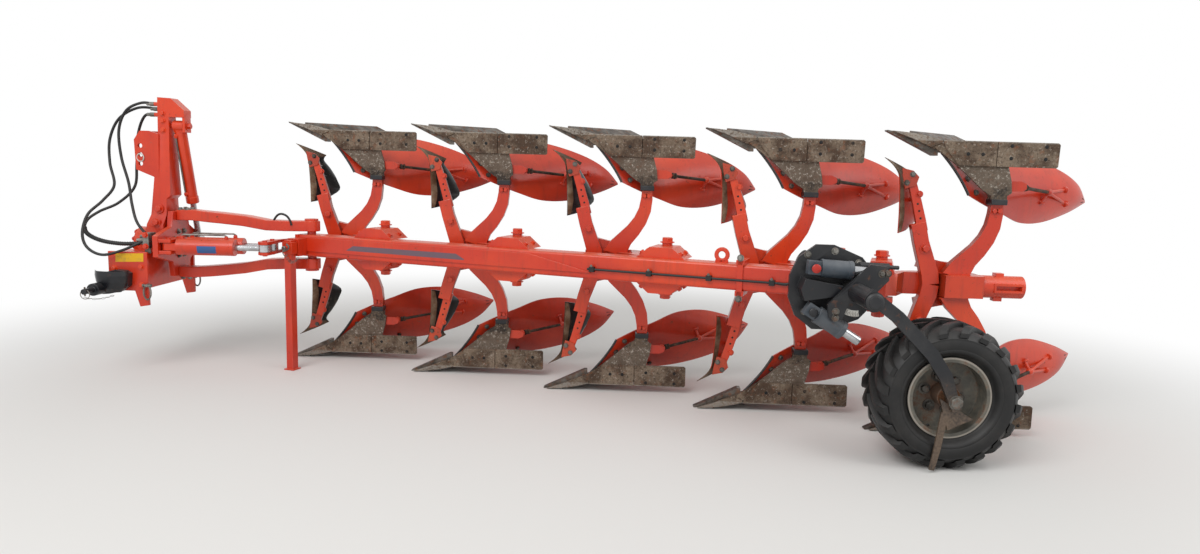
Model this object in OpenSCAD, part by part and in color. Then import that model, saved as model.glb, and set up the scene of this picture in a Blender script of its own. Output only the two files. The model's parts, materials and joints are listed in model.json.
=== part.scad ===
// Five-furrow mounted reversible plough with variable working width.
// X runs rearward, Y to the plough's right, Z up. The lower bodies are drawn once and
// mirrored about the beam's mid-height for the upper ones.

/* [Frame] */
// Number of stations along the beam
stations = 5; // [5:1:5]
// Distance between two body pivots along the beam
pivot_pitch = 1020; // [960:10:1060]
// Angle of the beam to the direction of travel, as parked
beam_angle = 18; // [17:0.5:22]
// Height of the beam's middle and of the turnover axis
axis_h = 862; // [850:1:900]
// Side of the square beam tube
beam_side = 150; // [140:1:156]
// Wall of the beam tube
beam_wall = 10; // [6:1:14]
// Corner radius of the beam tube
beam_corner = 16; // [12:1:22]
// Gap between the beam's far face and the pivot tubes
beam_gap = 12; // [8:1:20]
// Length of the beam in front of the first body pivot
beam_front = 570; // [540:5:600]
// Length of the beam behind the first body pivot
beam_rear = 3330; // [3300:5:3345]
// Length of the plate that doubles the beam's front
plate_len = 2190; // [1500:10:2250]
// Thickness of the plate that doubles the beam's front
plate_t = 10; // [6:1:14]
// Distance of the last body's pivot behind the first, along the beam
last_pivot = 3296; // [3290:1:3300]
// Outer radius of the tail tube
tail_r = 64; // [56:1:66]
// Length of the tail tube behind the last carrier
tail_len = 236; // [200:5:260]

/* [Body pivots] */
// Radius of a body's vertical pivot pin
pin_r = 20; // [16:1:24]
// Radial running clearance of the pivot pins
pin_fit = 0.05; // [0.02:0.01:0.1]
// Outer radius of a pivot tube
tube_r = 48; // [40:1:50]
// Running gap between a pivot tube and its brackets
pivot_gap = 5; // [5:1:8]
// Length of a pivot bracket at its foot
hat_len = 300; // [240:5:320]
// Length of a pivot bracket at its top
hat_top = 140; // [110:5:160]
// Height of a pivot bracket over the beam
hat_h = 66; // [50:1:80]

/* [Legs] */
// Distance of a leg from its pivot, to the right
leg_y = 262; // [260:1:264]
// Thickness of a leg
leg_t = 44; // [36:1:50]
// Height of a carrier's block
carrier_h = 126; // [110:1:134]
// Thickness of a carrier's wing plates
wing_t = 60; // [40:1:70]

/* [Bodies] */
// Distance of the landsides from the pivot, to the right
land_y = 205; // [195:1:215]
// Thickness of a landside plate
land_t = 14; // [10:1:16]
// Height of a landside plate
land_h = 137; // [125:1:142]
// Height of a landside's sole over the share's edge
sole_h = 48; // [42:1:52]
// Length of a rear landside plate
land_rear = 336; // [300:1:350]
// Distance of the heel behind the pivot
heel_x = 166; // [150:1:170]
// Distance of the point's tip in front of the pivot
tip_x = 770; // [740:1:780]
// Working width of a share
share_w = 430; // [420:1:436]
// Thickness of a share
share_t = 12; // [10:1:14]
// Width of a point bar
bar_w = 60; // [50:1:70]
// Thickness of a point bar
bar_t = 22; // [16:1:24]
// Thickness of a mouldboard
board_t = 8; // [6:1:10]
// Height of a mouldboard's top edge over the ground
board_h = 505; // [480:5:520]
// Distance of a mouldboard's tail behind the pivot
tail_x = 640; // [600:5:660]
// Distance of a mouldboard's tail to the right of its frog
tail_y = 563; // [540:1:580]

/* [Skimmers] */
// Distance of a skimmer arm from its pivot, to the right
skim_y = 293; // [285:1:300]
// Thickness of a skimmer arm's socket
skim_socket_t = 50; // [40:1:52]
// Thickness of a skimmer arm's bar
skim_bar_t = 26; // [20:1:30]
// Thickness of a skimmer board
skim_board_t = 6; // [5:1:8]

/* [Headstock] */
// Distance of the turnover axis from the first pivot, to the right
axis_y = -117; // [-120:1:-110]
// Distance of the headstock's rear face in front of the first pivot
head_x = 1434; // [1430:1:1440]
// Radius of the turnover shaft
shaft_r = 70; // [60:1:74]
// Radial running clearance of the turnover shaft
shaft_fit = 0.05; // [0.02:0.01:0.1]
// Outer radius of the turnover housing
housing_r = 105; // [95:1:110]
// Length of the turnover housing
housing_len = 230; // [200:5:240]
// Height of the mast's top over the ground
mast_top = 1845; // [1800:5:1860]
// Width of the mast, side to side
mast_w = 160; // [140:1:170]
// Radius of a top link hole
link_hole_r = 16; // [12.5:0.5:16]
// Distance between the top link holes
link_hole_pitch = 60; // [55:1:65]
// Thickness of a top link cheek
cheek_t = 22; // [16:1:24]
// Clear width between the top link cheeks
cheek_gap = 86; // [80:1:90]
// Width of the headstock's base box
base_w = 600; // [580:5:620]
// Thickness of a hitch arm's plate
hook_t = 50; // [40:1:60]
// Distance between the shoulders of the lower link pins
hitch_span = 920; // [900:5:940]
// Radius of a lower link pin
hitch_pin_r = 18.25; // [14:0.25:18.25]
// Length of a lower link pin outside its arm
hitch_pin_len = 90; // [80:1:100]
// Height of the lower link pins over the ground
hitch_h = 590; // [560:5:620]

/* [Swing frame] */
// Height of the swing arms' middle over the turnover axis, at the headstock
arm_rise = 195; // [190:1:200]
// Thickness of a swing arm
arm_t = 72; // [60:1:76]
// Radius of the front pivot pin
front_pin_r = 30; // [25:1:34]
// Half width of a swing arm
arm_half_w = 50; // [44:1:54]

/* [Cylinders] */
// Outer radius of the turnover cylinder
turn_cyl_r = 38; // [34:1:39]
// Radius of the turnover cylinder's rod
turn_rod_r = 20; // [16:1:22]
// Distance of the turnover crank's pin from the axis
crank_r = 200; // [190:1:210]
// Outer radius of a width cylinder
width_cyl_r = 55; // [46:1:56]
// Radius of a width cylinder's rod
width_rod_r = 20; // [16:1:24]
// Radius of the cylinders' pins
cyl_pin_r = 15; // [12:1:18]
// Radial running clearance of the cylinders' pins and rods
cyl_fit = 0.05; // [0.02:0.01:0.1]

/* [Stand] */
// Side of the stand's square post
stand_side = 54; // [46:1:60]
// Radius of the stand's pin
stand_pin_r = 14; // [10:1:16]

/* [Depth wheel] */
// Outer diameter of the tyre
tyre_d = 750; // [730:1:750]
// Width of the tyre
tyre_w = 330; // [320:1:336]
// Diameter of the rim at its bead seat
rim_d = 388; // [380:1:400]
// Number of lugs in each of the tyre's two rows
lugs = 20; // [16:1:22]
// Height of a lug over the tyre's carcass
lug_h = 24; // [18:1:28]
// Width of a lug
lug_w = 40; // [30:1:46]
// Thickness of the wheel arm's flat bar
arm_bar_t = 30; // [24:1:34]
// Width of the wheel arm's flat bar
arm_bar_w = 66; // [60:1:76]
// Radius of the wheel arm's pivot shaft
wheel_pin_r = 30; // [26:1:34]
// Thickness of the wheel bracket's plate
bracket_t = 25; // [20:1:28]
// Outer radius of a depth stop's barrel
stop_r = 48; // [42:1:50]

/* [Hidden] */
$fn = 32;

// Place of the whole plough: its box is centred on the origin
place_x = -1372.7;
place_y = 470.5;

paint = "orangered";
worn = "saddlebrown";
steel = "dimgray";
dark = "darkslategray";

// Beam line: s runs rearward along the beam, n to its right, both from the first pivot
beam_n = -(tube_r + beam_gap + beam_side / 2);

module placed() translate([place_x, place_y, 0]) children();
module along_beam() rotate([0, 0, -beam_angle]) children();
function station_s(i) = (i - 1) * pivot_pitch;
module at_station(i) along_beam() translate([station_s(i), 0, 0]) rotate([0, 0, beam_angle]) children();
module both_rows() {
  children();
  translate([0, 0, 2 * axis_h]) mirror([0, 0, 1]) children();
}

// Square tube along X with rounded corners, centred on the X axis
module round_square(side, corner) {
  hull_half = side / 2 - corner;
  union() {
    square([side, 2 * hull_half], center = true);
    square([2 * hull_half, side], center = true);
    for (a = [-1, 1], b = [-1, 1]) translate([a * hull_half, b * hull_half]) circle(corner);
  }
}

// Plate in the XZ plane: a polygon of [x, z] points, from y0 to y0 + t
module xz_plate(pts, y0, t) translate([0, y0 + t, 0]) rotate([90, 0, 0]) linear_extrude(t) polygon(pts);

// Outline of a bar along a bent line of [x, z, width] rows
function bar_dir(rows, i) =
  let (a = rows[max(i - 1, 0)], b = rows[min(i + 1, len(rows) - 1)], d = [b[0] - a[0], b[1] - a[1]])
  d / norm(d);
function bar_side(rows, side) =
  [for (i = [0 : len(rows) - 1]) let (d = bar_dir(rows, i), w = side * rows[i][2] / 2)
    [rows[i][0] - d[1] * w, rows[i][1] + d[0] * w]];
function reversed(list) = [for (i = [len(list) - 1 : -1 : 0]) list[i]];
function bar_outline(rows) = concat(bar_side(rows, 1), reversed(bar_side(rows, -1)));

// Beam
front_s = -520;
beam_len = beam_front + beam_rear;
module beam() color(paint) placed() along_beam() translate([-beam_front, beam_n, axis_h]) {
  rotate([90, 0, 90]) difference() {
    linear_extrude(beam_len) round_square(beam_side, beam_corner);
    translate([0, 0, -1]) linear_extrude(beam_len - 20)
      round_square(beam_side - 2 * beam_wall, beam_corner - beam_wall + 1);
    translate([0, -beam_side, beam_front + front_s]) rotate([-90, 0, 0])
      cylinder(r = front_pin_r + pin_fit, h = 2 * beam_side);
  }
}

// Doubling plate on the beam's near side, cut to a point at its rear
plate_low = -38;
plate_cut = 420;
module beam_plate() color(paint) placed() along_beam()
  xz_plate([[-beam_front, axis_h + plate_low], [plate_len - beam_front, axis_h + plate_low],
            [plate_len - beam_front, axis_h + plate_low + 4],
            [plate_len - beam_front - plate_cut, axis_h + beam_side / 2 - beam_corner],
            [-beam_front, axis_h + beam_side / 2 - beam_corner]],
           beam_n - beam_side / 2 - plate_t, plate_t);

// Pivot brackets: a trapezoid block over and under the beam at each pivot
hat_near = beam_n - 20;
hat_far = tube_r;
hat_seat = beam_side / 2;
function pivot_s(i) = i < stations ? station_s(i) : last_pivot;
module pivot_bracket(len_foot, len_top) difference() {
  xz_plate([[-len_foot / 2, hat_seat], [len_foot / 2, hat_seat], [len_top / 2, hat_seat + hat_h],
            [-len_top / 2, hat_seat + hat_h]], hat_near, hat_far - hat_near);
  cylinder(r = pin_r, h = 400, center = true);
}
last_hat = 150;
module pivot_brackets() color(paint) placed() translate([0, 0, axis_h])
  for (i = [1 : stations], up = [0, 1]) mirror([0, 0, up]) along_beam() translate([pivot_s(i), 0, 0])
    if (i < stations) pivot_bracket(hat_len, hat_top);
    else pivot_bracket(last_hat, last_hat - 40);

// Vertical pivot pins with a head and a nut
pin_half = beam_side / 2 + hat_h + 24;
module pivot_pins() color(steel) placed()
  for (i = [1 : stations]) along_beam() translate([pivot_s(i), 0, axis_h]) {
    cylinder(r = pin_r, h = 2 * pin_half, center = true);
    for (up = [0, 1]) mirror([0, 0, up]) translate([0, 0, beam_side / 2 + hat_h])
      cylinder(r = pin_r + 12, h = 18);
  }

// Hydraulic pipe clipped along the beam's near side
pipe_r = 7;
pipe_z = axis_h - 12;
pipe_from = plate_len - beam_front - 20;
pipe_to = beam_rear - 570;
clip_pitch = (pipe_to - pipe_from - 71) / 3;
module beam_pipe() color("black") placed() along_beam() {
  translate([pipe_from, beam_n - beam_side / 2 - 14, pipe_z]) rotate([0, 90, 0])
    cylinder(r = pipe_r, h = pipe_to - pipe_from, $fn = 16);
  for (k = [0 : 3]) translate([pipe_from + 30 + k * clip_pitch, beam_n - beam_side / 2, pipe_z])
    translate([-16, -26, -16]) cube([32, 26, 32]);
}

// Last carrier: an arm along the direction of travel, from its own pivot to the tail tube
last_at = [(last_pivot - 4 * pivot_pitch) * cos(beam_angle), (4 * pivot_pitch - last_pivot) * sin(beam_angle)];
box_front = -430;
box_rear = -176;
clamp_y = last_at[1] + 32;
tail_slot = 26;
module tail_tube() color(paint) placed() at_station(stations) translate([box_rear + 0.3, clamp_y, axis_h])
  difference() {
    union() {
      rotate([0, 90, 0]) cylinder(r = tail_r, h = tail_len);
      translate([60, -tail_r - 6, -tail_slot]) cube([tail_len - 74, 30, 2 * tail_slot]);
      for (up = [0, 1]) mirror([0, 0, up]) translate([78, -26, tail_r - 8]) cube([46, 46, 24]);
    }
    translate([70, -tail_r - 20, -tail_slot / 2]) cube([tail_len - 94, 50, tail_slot]);
  }

// Leg of a lower body: rows of [x, z, width] from the collar up to the carrier
leg_rows = [[-130, 380, 66], [-130, 396, 66], [-130, 450, 74], [-140, 520, 80], [-168, axis_h - 272, 86],
            [-212, axis_h - 207, 94], [-262, axis_h - 152, 104], [-300, axis_h - 102, 130], [-316, axis_h - 50, 170]];
module leg() xz_plate(bar_outline(leg_rows), leg_y - leg_t / 2, leg_t);

// Wing of a carrier that holds the skimmer arm's foot
wing_rows = [[-300, axis_h - 62, 120], [-380, axis_h - 87, 84], [-450, axis_h - 110, 70], [-505, axis_h - 124, 66]];
module wing() xz_plate(bar_outline(wing_rows), skim_y + skim_socket_t / 2, wing_t);

// Carrier: pivot tube, block that reaches out to the legs, legs and wings
carrier_plan = [[36, -20], [44, 20], [-90, 330], [-190, 420], [-380, 420], [-520, 380], [-520, 318],
                [-400, 318], [-36, -10]];
skim_face = skim_y + skim_socket_t / 2;
last_plan = [[last_at[0], last_at[1] - 44], [-660, last_at[1] - 30], [-590, skim_face + 0.3],
             [box_front + 38, skim_face + 0.3], [box_front + 38, clamp_y - tail_r - 6],
             [box_rear, clamp_y - tail_r - 6], [box_rear, clamp_y + tail_r + 6], [-190, 420], [-380, 420],
             [-520, 400], [-600, 376], [last_at[0], last_at[1] + 44]];
module carrier(i) color(paint) placed() at_station(i) {
  pivot_at = i < stations ? [0, 0] : last_at;
  difference() {
    union() {
      translate([pivot_at[0], pivot_at[1], axis_h])
        cylinder(r = tube_r, h = beam_side - 2 * pivot_gap, center = true);
      translate([0, 0, axis_h - carrier_h / 2]) linear_extrude(carrier_h)
        polygon(i < stations ? carrier_plan : last_plan);
      both_rows() {
        leg();
        wing();
      }
    }
    translate([pivot_at[0], pivot_at[1], axis_h])
      cylinder(r = pin_r + pin_fit, h = 2 * beam_side, center = true);
  }
}

// Skimmer arm: wide socket with a bolt hole, then a narrow bar down to the skimmer
socket_rows = [[-450, axis_h, 96], [-458, axis_h - 62, 100], [-484, axis_h - 134, 92], [-520, 620, 84], [-546, 515, 84]];
bar_rows = [[-516, 560, 62], [-530, 500, 58], [-561, 390, 52], [-590, 300, 46], [-606, 250, 44]];
module skimmer_arms(i) color(paint) placed() at_station(i) both_rows() {
  xz_plate(bar_outline(socket_rows), skim_y - skim_socket_t / 2, skim_socket_t - 0.3);
  xz_plate(bar_outline(bar_rows), skim_y - skim_bar_t / 2, skim_bar_t);
}

// Rod from a to b
module rod(a, b, r) {
  d = b - a;
  translate(a) rotate([0, acos(d[2] / norm(d)), atan2(d[1], d[0])]) cylinder(r = r, h = norm(d));
}
// End of a rod of radius r that comes from a and enters the surface through q by a depth,
// where n is a vector across the surface
function rod_end(a, q, n, r, depth) =
  let (d = (q - a) / norm(q - a), c = abs(d * n) / norm(n))
  q + d * (depth - r * sqrt(1 - c * c)) / c;

// Curved sheet: a grid of points on its front face, the same grid moved by its thickness
// on the back, and triangles between them
function sheet_faces(nu, nv) =
  let (n = (nu + 1) * (nv + 1))
  concat(
    [for (iu = [0 : nu - 1], iv = [0 : nv - 1]) let (k = iu * (nv + 1) + iv) each
      [[k, k + nv + 2, k + 1], [k, k + nv + 1, k + nv + 2]]],
    [for (iu = [0 : nu - 1], iv = [0 : nv - 1]) let (k = n + iu * (nv + 1) + iv) each
      [[k, k + 1, k + nv + 2], [k, k + nv + 2, k + nv + 1]]],
    [for (iu = [0 : nu - 1]) let (k = iu * (nv + 1)) each
      [[k, n + k + nv + 1, k + nv + 1], [k, n + k, n + k + nv + 1]]],
    [for (iu = [0 : nu - 1]) let (k = iu * (nv + 1) + nv) each
      [[k, k + nv + 1, n + k + nv + 1], [k, n + k + nv + 1, n + k]]],
    [for (iv = [0 : nv - 1]) each [[iv, iv + 1, n + iv + 1], [iv, n + iv + 1, n + iv]]],
    [for (iv = [0 : nv - 1]) let (k = nu * (nv + 1) + iv) each
      [[k, n + k + 1, k + 1], [k, n + k, n + k + 1]]]);
module sheet(front, nu, nv, back)
  polyhedron(concat(front, [for (p = front) p + back]), sheet_faces(nu, nv));

// Skimmer board: a small mouldboard on its arm, with a point below
skim_nu = 5;
skim_nv = 6;
skim_near = skim_y + skim_bar_t / 2 + skim_board_t + 0.6;
skim_lead = [[-752, 0, 150], [-701, 0, 192], [-668, 0, 240], [-658, 0, 300], [-652, 0, 390], [-648, 0, 480], [-647, 0, 576]];
skim_trail = [[-566, 112, 230], [-580, 96, 266], [-548, 128, 322], [-520, 142, 372], [-500, 148, 416],
              [-483, 148, 486], [-565, 94, 552]];
skim_thick = [skim_board_t * 0.5, -skim_board_t, 0];
function skim_point(u, v) =
  let (a = along(skim_lead, v * skim_nv), b = along(skim_trail, v * skim_nv), dip = 4 * u * (1 - u))
  a + (b - a) * u + [8 * dip, skim_near - 16 * dip * u, 0];
function skim_back(u, v) = skim_point(u, v) + skim_thick;
function skim_across(u, v) =
  cross(skim_point(u, v + 0.02) - skim_point(u, v), skim_point(u + 0.02, v) - skim_point(u, v));
skim_boss_r = 11;
module skim_boss(u, v) {
  q = skim_back(u, v);
  foot = [q[0], skim_y + skim_bar_t / 2 + 0.4, q[2]];
  rod(foot, rod_end(foot, q, skim_across(u, v), skim_boss_r, 3.5), skim_boss_r);
}
module skimmers(i) color(i < 4 ? "black" : paint) placed() at_station(i) both_rows() {
  sheet([for (iu = [0 : skim_nu], iv = [0 : skim_nv]) skim_point(iu / skim_nu, iv / skim_nv)],
        skim_nu, skim_nv, skim_thick);
  skim_boss(0.52, 0.42);
  skim_boss(0.56, 0.62);
}

// Landsides and frog: the long plates against the furrow wall and the plate up to the leg
front_plate = [[heel_x - land_rear - 4, sole_h], [heel_x - land_rear - 4, sole_h + land_h - 2],
               [-375, sole_h + land_h - 2], [-452, 92], [-470, sole_h]];
rear_plate = [[heel_x - land_rear, sole_h], [heel_x - 10, sole_h], [heel_x, sole_h + 10],
              [heel_x - 2, sole_h + land_h - 8], [heel_x - 12, sole_h + land_h],
              [heel_x - land_rear, sole_h + land_h]];
frog_t = 18;
frog_plate = [[-520, 84], [-470, 64], [-60, 70], [-60, 150], [-96, 186], [-74, 262], [-66, 328], [-90, 345],
              [-90, 380], [-170, 380], [-178, 346], [-200, 334], [-236, 308], [-298, 252], [-375, 186], [-450, 130]];
frog_y = land_y + land_t;
frog_face = frog_y + frog_t;
module landsides(i) color(worn) placed() at_station(i) both_rows() {
  xz_plate(front_plate, land_y, land_t);
  xz_plate(rear_plate, land_y, land_t);
  xz_plate(frog_plate, frog_y, frog_t);
  translate([-170, frog_y, 296]) cube([80, leg_y - frog_y + leg_t / 2, 84]);
}

// Share and point bar
share_near = frog_face + 0.4;
share_low = 13;
share_top = [[-650, share_near, 13], [-480, share_near, 118],
             [-250, frog_y + share_w - 14, share_low], [-120, frog_y + share_w - 39, 74]];
module point_bar() hull() {
  translate([-tip_x, share_near + 4, 0]) cube([6, bar_w - 12, 6]);
  translate([-tip_x + 130, share_near, 28]) cube([20, bar_w, bar_t + 4]);
  translate([-504, share_near, 104]) cube([20, bar_w, bar_t + 8]);
}
module shares(i) color(steel) placed() at_station(i) both_rows() {
  sheet(share_top, 1, 1, [2, 0, -share_t]);
  point_bar();
}

// Mouldboard: u runs from the shin to the tail, v from the share up to the top edge
board_nu = 12;
board_nv = 6;
board_thick = [board_t * 0.5, -board_t, 0];
seam = share_top[3] - share_top[1];
seam_at = share_top[1] + [0.4, -0.4, 0.4];
board_low = [seam_at + seam * 0.03, seam_at + seam * 0.5, seam_at + seam, [130, frog_y + 421, 104],
             [380, frog_y + 449, 178], [545, frog_y + 493, 268], [640, frog_y + 561, 372]];
board_top = [[-300, frog_y + 27, 346], [-182, frog_y + 81, 400], [-50, frog_y + 136, 452], [110, frog_y + 251, 505],
             [300, frog_y + 381, 503], [500, frog_y + 486, 447], [642, frog_y + 563, 384]];
// Point on a smooth line through the points of a list, t counts the points
function along(p, t) =
  let (i = min(floor(t), len(p) - 2))
  blend(p[max(i - 1, 0)], p[i], p[i + 1], p[min(i + 2, len(p) - 1)], t - i);
// The tail and the top move with their settable sizes
function board_fit(p) =
  let (tail = max(p[0], 0) / 642, high = max(p[2] - 122, 0) / 383)
  p + [(tail_x - 642) * tail, (tail_y - 563) * tail, (board_h - 505) * high];
// u runs from 0 at the shin to 6 at the tail, v from the lower edge up to the top
function board_point(u, v) =
  let (a = u < 2 ? board_low[0] + (board_low[2] - board_low[0]) * u / 2 : along(board_low, u),
       b = along(board_top, u), dip = 4 * v * (1 - v) * sin(30 * u))
  board_fit(a + (b - a) * v + [20 * dip + 12 * (1 - u / 6) * 4 * v * (1 - v), -60 * dip, 0]);
function board_across(u, v) =
  cross(board_point(u, v + 0.02) - board_point(u, v), board_point(u + 0.1, v) - board_point(u, v));
module mouldboard()
  sheet([for (iu = [0 : board_nu], iv = [0 : board_nv]) board_point(6 * iu / board_nu, iv / board_nv)],
        board_nu, board_nv, board_thick);

// Stay: a bracket on the frog, a rod behind the board and a star of three arms on its back
stay_eye = [6, frog_face + 12, 294];
star_at = [272, frog_y + 272, 322];
star_arms = [[3.5, 0.66], [4.3, 0.36], [4.5, 0.66]];
module stay() {
  xz_plate([[-84, 262], [-74, 318], [0, 318], [22, 300], [20, 276], [-10, 262]], frog_face + 0.4, 12);
  translate(stay_eye) rotate([-90, 0, 0]) cylinder(r = 22, h = 34);
  rod(stay_eye + [0, 20, 0], star_at, 10);
  translate(star_at) sphere(22);
  for (p = star_arms) rod(star_at, rod_end(star_at, board_point(p[0], p[1]) + board_thick,
                                           board_across(p[0], p[1]), 9, 4.5), 9);
}
module mouldboards(i) color(paint) placed() at_station(i) both_rows() {
  mouldboard();
  stay();
}

// Headstock: its own frame has its origin on the ground under the turnover axis, at the
// rear face that the turning side must clear
module at_head() placed() translate([-head_x, axis_y, 0]) children();
module both_sides() {
  children();
  mirror([0, 1, 0]) children();
}

// Base: cross box with end plates, and the housing of the turnover shaft
base_low = axis_h - 287;
base_high = axis_h - 47;
base_front = -285;
base_rear = -60;
end_t = 22;
module headstock_base() color(paint) at_head() difference() {
  union() {
    translate([base_front, -base_w / 2, base_low]) cube([base_rear - base_front, base_w, base_high - base_low]);
    both_sides() {
      translate([base_front - 6, base_w / 2 - end_t, base_low - 10])
        cube([base_rear - base_front + 36, end_t, base_high - base_low + 20]);
      xz_plate([[base_rear + 30, base_low - 10], [base_rear + 30, base_low - 105],
                [base_rear - 30, base_low - 115], [base_rear - 60, base_low - 10]],
               base_w / 2 - end_t, end_t);
    }
    translate([-5, 0, axis_h]) rotate([0, -90, 0]) cylinder(r = housing_r, h = housing_len);
  }
  translate([50, 0, axis_h]) rotate([0, -90, 0]) cylinder(r = shaft_r + shaft_fit, h = 400);
}

// Mast: tapered box on two side plates, its top bracket and the top link's cheeks
mast_foot = axis_h + housing_r + 1;
mast_side = [[-126, mast_foot], [-10, mast_foot], [-10, 1166], [16, 1190], [12, mast_top - 245], [12, mast_top - 129],
             [118, mast_top - 129], [118, mast_top - 83], [30, mast_top - 4], [-60, mast_top], [-66, mast_top - 245],
             [-112, 1100]];
mast_rear = [[-126, mast_foot], [126, mast_foot], [126, mast_foot + 26], [mast_w / 2, mast_foot + 90],
             [46, mast_top - 225], [46, mast_top], [-46, mast_top], [-46, mast_top - 225], [-mast_w / 2, mast_foot + 90],
             [-126, mast_foot + 26]];
cheek_side = [[-215, 1360], [-140, 1330], [-60, 1300], [-52, 1600], [-120, 1620], [-180, 1620], [-222, 1560]];
hose_r = 9;
gland_x = -92;
gland_y = [-22, 22, -22];
gland_z = [mast_top - 45, mast_top - 75, mast_top - 115];
link_x = -182;
link_z = 1400;
top_pivot_z = mast_top - 185;
turn_x = 62;
ear_x = 102;
module mast() color(paint) at_head() difference() {
  union() {
    intersection() {
      xz_plate(mast_side, -200, 400);
      translate([-200, 0, 0]) rotate([90, 0, 90]) linear_extrude(400) polygon(mast_rear);
    }
    translate([ear_x, -40, top_pivot_z - 44]) cube([16, 80, mast_top - 69 - top_pivot_z]);
    translate([0, 0, top_pivot_z]) rotate([0, 90, 0]) cylinder(r = cyl_pin_r, h = ear_x + 4);
    for (k = [0 : 2]) translate([gland_x, gland_y[k], gland_z[k]]) rotate([0, 90, 0])
      cylinder(r = hose_r + 5, h = 50);
    both_sides() {
      xz_plate(cheek_side, cheek_gap / 2, cheek_t);
      xz_plate([[-200, base_high + 0.3], [-30, base_high + 0.3], [-12, mast_foot + 8], [-126, mast_foot + 8]],
               housing_r + 1, 20);
    }
  }
  for (k = [0 : 2]) translate([link_x, 0, link_z + k * link_hole_pitch]) rotate([90, 0, 0])
    cylinder(r = link_hole_r, h = 2 * mast_w, center = true);
}

// Hitch arms: curved plates in front of the base that carry the lower link pins
hitch_x = -300;
hook_side = [[-136, hitch_h + 12], [-128, hitch_h + 96], [-160, hitch_h + 114], [-210, hitch_h + 118],
             [-262, hitch_h + 108], [-306, hitch_h + 84], [-334, hitch_h + 46], [-345, hitch_h],
             [-334, hitch_h - 34], [-306, hitch_h - 46], [-262, hitch_h - 42], [-190, hitch_h - 26]];
module hitch_arms() color(dark) at_head() both_sides() {
  xz_plate(hook_side, base_w / 2 + 0.3, hook_t);
  translate([hitch_x, base_w / 2 + 2, hitch_h]) rotate([-90, 0, 0]) cylinder(r = 40, h = hitch_span / 2 - base_w / 2 - 2);
  translate([hitch_x, hitch_span / 2 - 2, hitch_h]) rotate([-90, 0, 0])
    cylinder(r = hitch_pin_r, h = hitch_pin_len + 2);
}

// Rear plane of the headstock's turning side: the turning frame's web lies behind it
web_x = 5;
web_t = 36;

// Turnover cylinder: barrel hung on the mast's top, rod down to the crank's pin
crank_drop = top_pivot_z - axis_h;
turn_lean = atan(crank_r / crank_drop);
turn_len = norm([crank_r, crank_drop]);
turn_barrel_len = crank_drop - crank_r - 55;
eye_half = turn_x - web_x - web_t - 0.3;
module along_turn() at_head() translate([turn_x, 0, top_pivot_z]) rotate([turn_lean, 0, 0])
  rotate([180, 0, 0]) children();
module turn_barrel() color(paint) along_turn() difference() {
  union() {
    translate([0, 0, 30]) cylinder(r = turn_cyl_r, h = turn_barrel_len - 30);
    translate([-turn_cyl_r + 2, 0, 0]) rotate([0, 90, 0]) cylinder(r = 36, h = 2 * turn_cyl_r - 4);
    translate([-turn_cyl_r + 6, -30, 0]) cube([2 * turn_cyl_r - 12, 60, 40]);
  }
  translate([0, 0, 60]) cylinder(r = turn_rod_r + cyl_fit, h = turn_barrel_len);
  translate([-60, 0, 0]) rotate([0, 90, 0]) cylinder(r = cyl_pin_r + cyl_fit, h = 120);
}
module turn_rod() color("silver") along_turn() {
  translate([0, 0, 70]) cylinder(r = turn_rod_r, h = turn_len - 100);
  translate([-eye_half, 0, turn_len]) rotate([0, 90, 0]) cylinder(r = 42, h = 2 * eye_half);
}

// Turning frame: shaft, web plate, crank pin and the clevises of the width cylinders
clevis_x = [86, 92];
clevis_y = [-238, -120];
clevis_gap = 54;
module turn_frame() color(paint) at_head() translate([0, 0, axis_h]) {
  difference() {
    union() {
      translate([-housing_len - 8, 0, 0]) rotate([0, 90, 0]) cylinder(r = shaft_r, h = housing_len + 16);
      translate([web_x, 0, 0]) rotate([90, 0, 90]) linear_extrude(web_t)
        polygon([[-90, -222], [90, -222], [110, -120], [244, -44], [244, 44], [110, 120], [90, 222], [-90, 222],
                 [-110, 120], [-290, 70], [-290, -70], [-110, -120]]);
      for (up = [0, 1], k = [0, 1]) mirror([0, 0, up]) translate([web_x, clevis_y[k] - 44, clevis_gap / 2])
        cube([clevis_x[k] - web_x + 36, 92 + 26 * (1 - k), 22]);
    }
    for (k = [0, 1]) translate([clevis_x[k], clevis_y[k], 0])
      cylinder(r = cyl_pin_r + cyl_fit, h = 300, center = true);
  }
}

// Swing arms: an upper and a lower S-shaped arm from the turning frame to the beam's front pivot
function beam_point(s, n) = [s * cos(beam_angle) + n * sin(beam_angle), n * cos(beam_angle) - s * sin(beam_angle)];
front_pivot = beam_point(front_s, beam_n);
front_at_head = [front_pivot[0] + head_x, front_pivot[1] - axis_y];
arm_seat = beam_side / 2 + 22 + arm_t / 2;
arm_rows = [[web_x, arm_rise, arm_t], [150, arm_rise + 2, arm_t], [330, arm_rise - 14, arm_t],
            [480, (arm_rise + arm_seat) / 2, arm_t], [620, arm_seat + 4, arm_t], [740, arm_seat, arm_t],
            [front_at_head[0] + 90, arm_seat, arm_t]];
module swing_arms() color(paint) at_head() translate([0, 0, axis_h]) for (up = [0, 1]) mirror([0, 0, up])
  difference() {
    intersection() {
      xz_plate(bar_outline(arm_rows), -200, 600);
      linear_extrude(400) union() {
        polygon([[web_x + web_t + 0.3, -arm_half_w], [260, -arm_half_w],
                 [front_at_head[0], front_at_head[1] - arm_half_w], [front_at_head[0], front_at_head[1] + arm_half_w],
                 [200, arm_half_w], [web_x + web_t + 0.3, arm_half_w]]);
        translate(front_at_head) circle(arm_half_w + 8);
      }
    }
    translate([front_at_head[0], front_at_head[1], 0]) cylinder(r = front_pin_r + pin_fit, h = 500, center = true);
  }
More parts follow.
